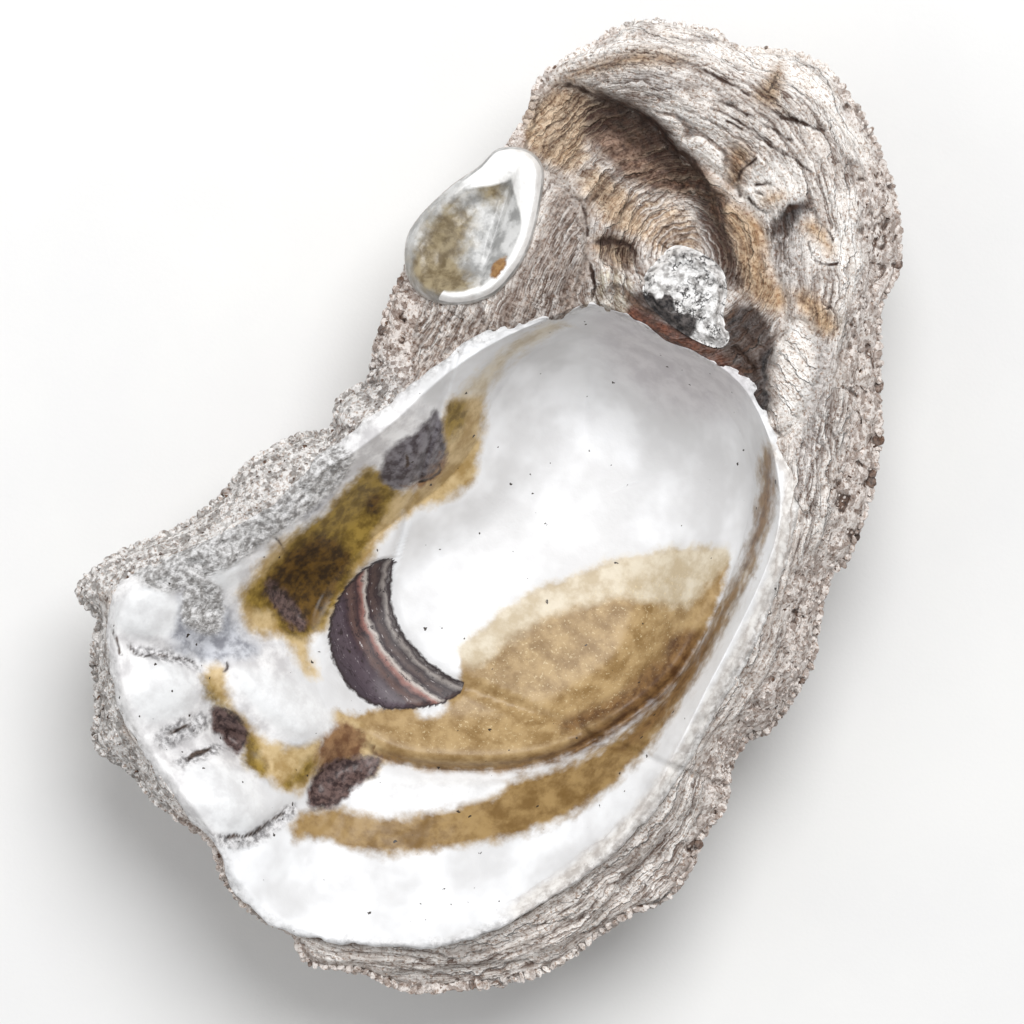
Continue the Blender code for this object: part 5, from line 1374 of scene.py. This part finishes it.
# A tree with named inputs. The pieces' values are set on the modifier by each input's identifier.
class Scatter(Tree):
    def __init__(self, name, closeness):
        inputs = {"Geometry": "Geometry", closeness: "Float", "Smallest": "Float", "Largest": "Float",
                  "Seed": "Int", "Material": "Material"}
        self.tree = bpy.data.node_groups.new(name, "GeometryNodeTree")
        self.tree.interface.new_socket("Geometry", in_out="OUTPUT", socket_type="NodeSocketGeometry")
        for label, kind in inputs.items():
            self.tree.interface.new_socket(label, in_out="INPUT", socket_type="NodeSocket" + kind)
        self.given = self.node("NodeGroupInput").outputs

    # A draw of its own for each instance, between two corners
    def random(self, low, high, shift):
        seed = self.calc("ADD", self.given["Seed"], shift)
        inputs = {"Seed": seed}
        for key, corner in enumerate((low, high)):
            inputs[key] = self.node("ShaderNodeCombineXYZ", dict(zip("XYZ", corner))).outputs[0]
        return self.node("FunctionNodeRandomValue", inputs, data_type="FLOAT_VECTOR").outputs[0]

    # A small angular body on each point, turned and sized between two corners each
    def close(self, points, turns, sizes):
        body = self.node("GeometryNodeMeshIcoSphere", {"Radius": 1.0, "Subdivisions": 1}).outputs[0]
        instances = self.node("GeometryNodeInstanceOnPoints", {
            "Points": points, "Instance": body,
            "Rotation": self.random(*turns, 1), "Scale": self.random(*sizes, 2)}).outputs[0]
        whole = self.node("GeometryNodeRealizeInstances", {"Geometry": instances}).outputs[0]
        dressed = self.node("GeometryNodeSetMaterial", {
            "Geometry": whole, "Material": self.given["Material"]})
        end = self.node("NodeGroupOutput")
        self.tree.links.new(dressed.outputs[0], end.inputs["Geometry"])

    # The tree's result on a mesh, as a plain object
    def apply(self, name, mesh, values):
        piece = addObject(name, mesh)
        modifier = piece.modifiers.new(name, "NODES")
        modifier.node_group = self.tree
        for item in self.tree.interface.items_tree:
            if item.in_out == "INPUT" and item.name in values:
                modifier[item.identifier] = values[item.name]
        seen = bpy.context.evaluated_depsgraph_get()
        made = bpy.data.meshes.new_from_object(
            piece.evaluated_get(seen), preserve_all_data_layers=True, depsgraph=seen)
        piece.modifiers.clear()
        piece.data = made
        print("made", name, len(made.polygons), "faces")
        return piece


# Small angular grains, close together where the shell is craggy
def grainTree():
    tree = Scatter("grainScatter", "Density")
    given = tree.given
    crag = tree.node("GeometryNodeInputNamedAttribute", {"Name": "crag"}, data_type="FLOAT").outputs[0]
    density = tree.times(tree.calc("POWER", crag, 2.0), given["Density"])
    spread = tree.node("GeometryNodeDistributePointsOnFaces", {
        "Mesh": given["Geometry"], "Density": density, "Seed": given["Seed"]})
    points = spread.outputs["Points"]
    for name in ("hollow", "dark", "seam"):      # the dirt, painted shade and dark lines stay on the shell under them
        inputs = {"Geometry": points, "Name": name, "Value": 0.0}
        points = tree.node("GeometryNodeStoreNamedAttribute", inputs, data_type="FLOAT",
                           domain="POINT").outputs[0]
    sizes = ((given["Smallest"],) * 3, (given["Largest"],) * 3)
    tree.close(points, ((0.0, 0.0, 0.0), (fullTurn, fullTurn, fullTurn)), sizes)
    return tree


# Thin scales along a line, lying flat and overlapping as the ends of growth layers do
def flakeTree():
    tree = Scatter("flakeScatter", "Spacing")
    given = tree.given
    curve = tree.node("GeometryNodeMeshToCurve", {"Mesh": given["Geometry"]}).outputs[0]
    points = tree.node("GeometryNodeResampleCurve", {"Curve": curve, "Length": given["Spacing"]},
                       mode="LENGTH").outputs[0]
    small, large = given["Smallest"], given["Largest"]
    thin = tree.times(large, 0.16)
    tree.close(points, ((-0.25, -0.25, 0.0), (0.25, 0.25, fullTurn)),
               ((small, small, thin), (large, large, thin)))
    return tree


# Lines round the edge that the flakes follow, at a few levels of its wall
def edgeLines():
    plan = outline.points
    x, y = plan.T
    out = outwardFrom(shell["pole"], plan)
    top, toEdge, outside = upperFace(x, y)
    foot, _ = lowerFace(x, y)
    relief, attributes = crustRelief(x, y, toEdge, outside, outer["sideLayers"])
    points, edges, values = [], [], {name: [] for name in attributes}
    for number, (part, shift) in enumerate(((0.18, 0.15), (0.4, 0.1), (0.62, 0.1), (0.85, 0.05))):
        wave = 0.35 * fractal(x, y, 4.0, 3, 150 + number)
        ring = plan + out * (shift + wave)[:, None]
        start = len(points) * len(x)
        points.append(np.column_stack([ring, top + (foot - top) * part + wave]))
        place = np.arange(len(x))
        edges += np.stack([start + place, start + (place + 1) % len(x)], axis=1).tolist()
        for name in values:
            values[name].append(attributes[name])
    mesh = bpy.data.meshes.new("edgeLines")
    mesh.from_pydata((np.vstack(points) * mm).tolist(), edges, [])
    for name, parts in values.items():
        setAttribute(mesh, name, np.concatenate(parts))
    return mesh


cupLining = makeLining()
beakHood = makeHood()
outerShell = makeOuter()
youngValve = makeSpat()
ligamentChalk = makeLigament()
grainScatter = grainTree()
sideGrains = grainScatter.apply("sideGrains", outerShell.data, grains | {"Material": crust})
finer = {"Density": 0.5 * grains["Density"], "Largest": 0.7 * grains["Largest"]}
hoodGrains = grainScatter.apply("hoodGrains", beakHood.data, grains | finer | {"Material": crust})
edgeFlakes = flakeTree().apply("edgeFlakes", edgeLines(), flakes | {"Material": crust})

for piece, slot in ((cupLining, "shell"), (beakHood, "shell"), (outerShell, "shell"), (sideGrains, "shell"),
                    (hoodGrains, "shell"), (edgeFlakes, "shell"),
                    (youngValve, "young_shell"), (ligamentChalk, "chalk")):
    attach(piece, "root")
for piece in (cupLining, beakHood, outerShell, sideGrains, hoodGrains, edgeFlakes):
    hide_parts("valve")
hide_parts("spat_valve")
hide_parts("ligament")


# Floor, light and camera, in metres
studio = {
    "floorSize": 3.0,
    "floorTones": ((226, 226, 226), (230, 230, 229)),
    "cameraHeight": 1.2,
    "frameWidth": 0.13005,
    "middle": (0.0000115, -0.0032703, 0.02),
    "turn": 30.0,
    "keyPlace": (-0.08, 0.42, 0.82),
    "keySize": 0.6,
    "keyWatts": 7.6,
    "fillPlace": (-0.55, -0.3, 0.6),
    "fillSize": 0.7,
    "fillWatts": 1.3,
    "skyStrength": 0.45,
}


def makeFloor():
    mesh = bpy.data.meshes.new("floor")
    half = studio["floorSize"] / 2
    corners = [(-half, -half, 0), (half, -half, 0), (half, half, 0), (-half, half, 0)]
    mesh.from_pydata(corners, [], [(0, 1, 2, 3)])
    paper = Finish("paper", 0.8)
    shade = paper.mottled(paper.noise(40.0), 0.3, 0.7, studio["floorTones"])
    mesh.materials.append(paper.close(shade, paper.times(paper.noise(0.5), 0.02)))
    floor = addObject("floor", mesh)


def addLight(name, place, size, watts):
    lamp = bpy.data.lights.new(name, "AREA")
    lamp.shape, lamp.size, lamp.energy = "DISK", size, watts
    light = addObject(name, lamp)
    light.location = place
    away = np.array(place) - np.array(studio["middle"])
    turn = math.atan2(away[1], away[0]) + math.pi / 2
    light.rotation_euler = (math.acos(away[2] / np.linalg.norm(away)), 0, turn)


def addCamera():
    lens = bpy.data.cameras.new("camera")
    middle = studio["middle"]
    distance = studio["cameraHeight"]
    lens.sensor_width = 36.0
    lens.lens = lens.sensor_width * distance / studio["frameWidth"]
    lens.clip_start, lens.clip_end = 0.05, 20.0
    camera = addObject("camera", lens)
    camera.location = (middle[0], middle[1], middle[2] + distance)
    camera.rotation_euler = (0, 0, math.radians(studio["turn"]))
    bpy.context.scene.camera = camera


makeFloor()
addLight("key", studio["keyPlace"], studio["keySize"], studio["keyWatts"])
addLight("fill", studio["fillPlace"], studio["fillSize"], studio["fillWatts"])
addCamera()
world = bpy.data.worlds.new("studio")
bpy.context.scene.world = world
world.use_nodes = True
sky = world.node_tree.nodes["Background"].inputs
sky["Color"].default_value, sky["Strength"].default_value = (1.0, 1.0, 1.0, 1.0), studio["skyStrength"]
bpy.context.scene.view_settings.view_transform = "Standard"
print("studio ready")
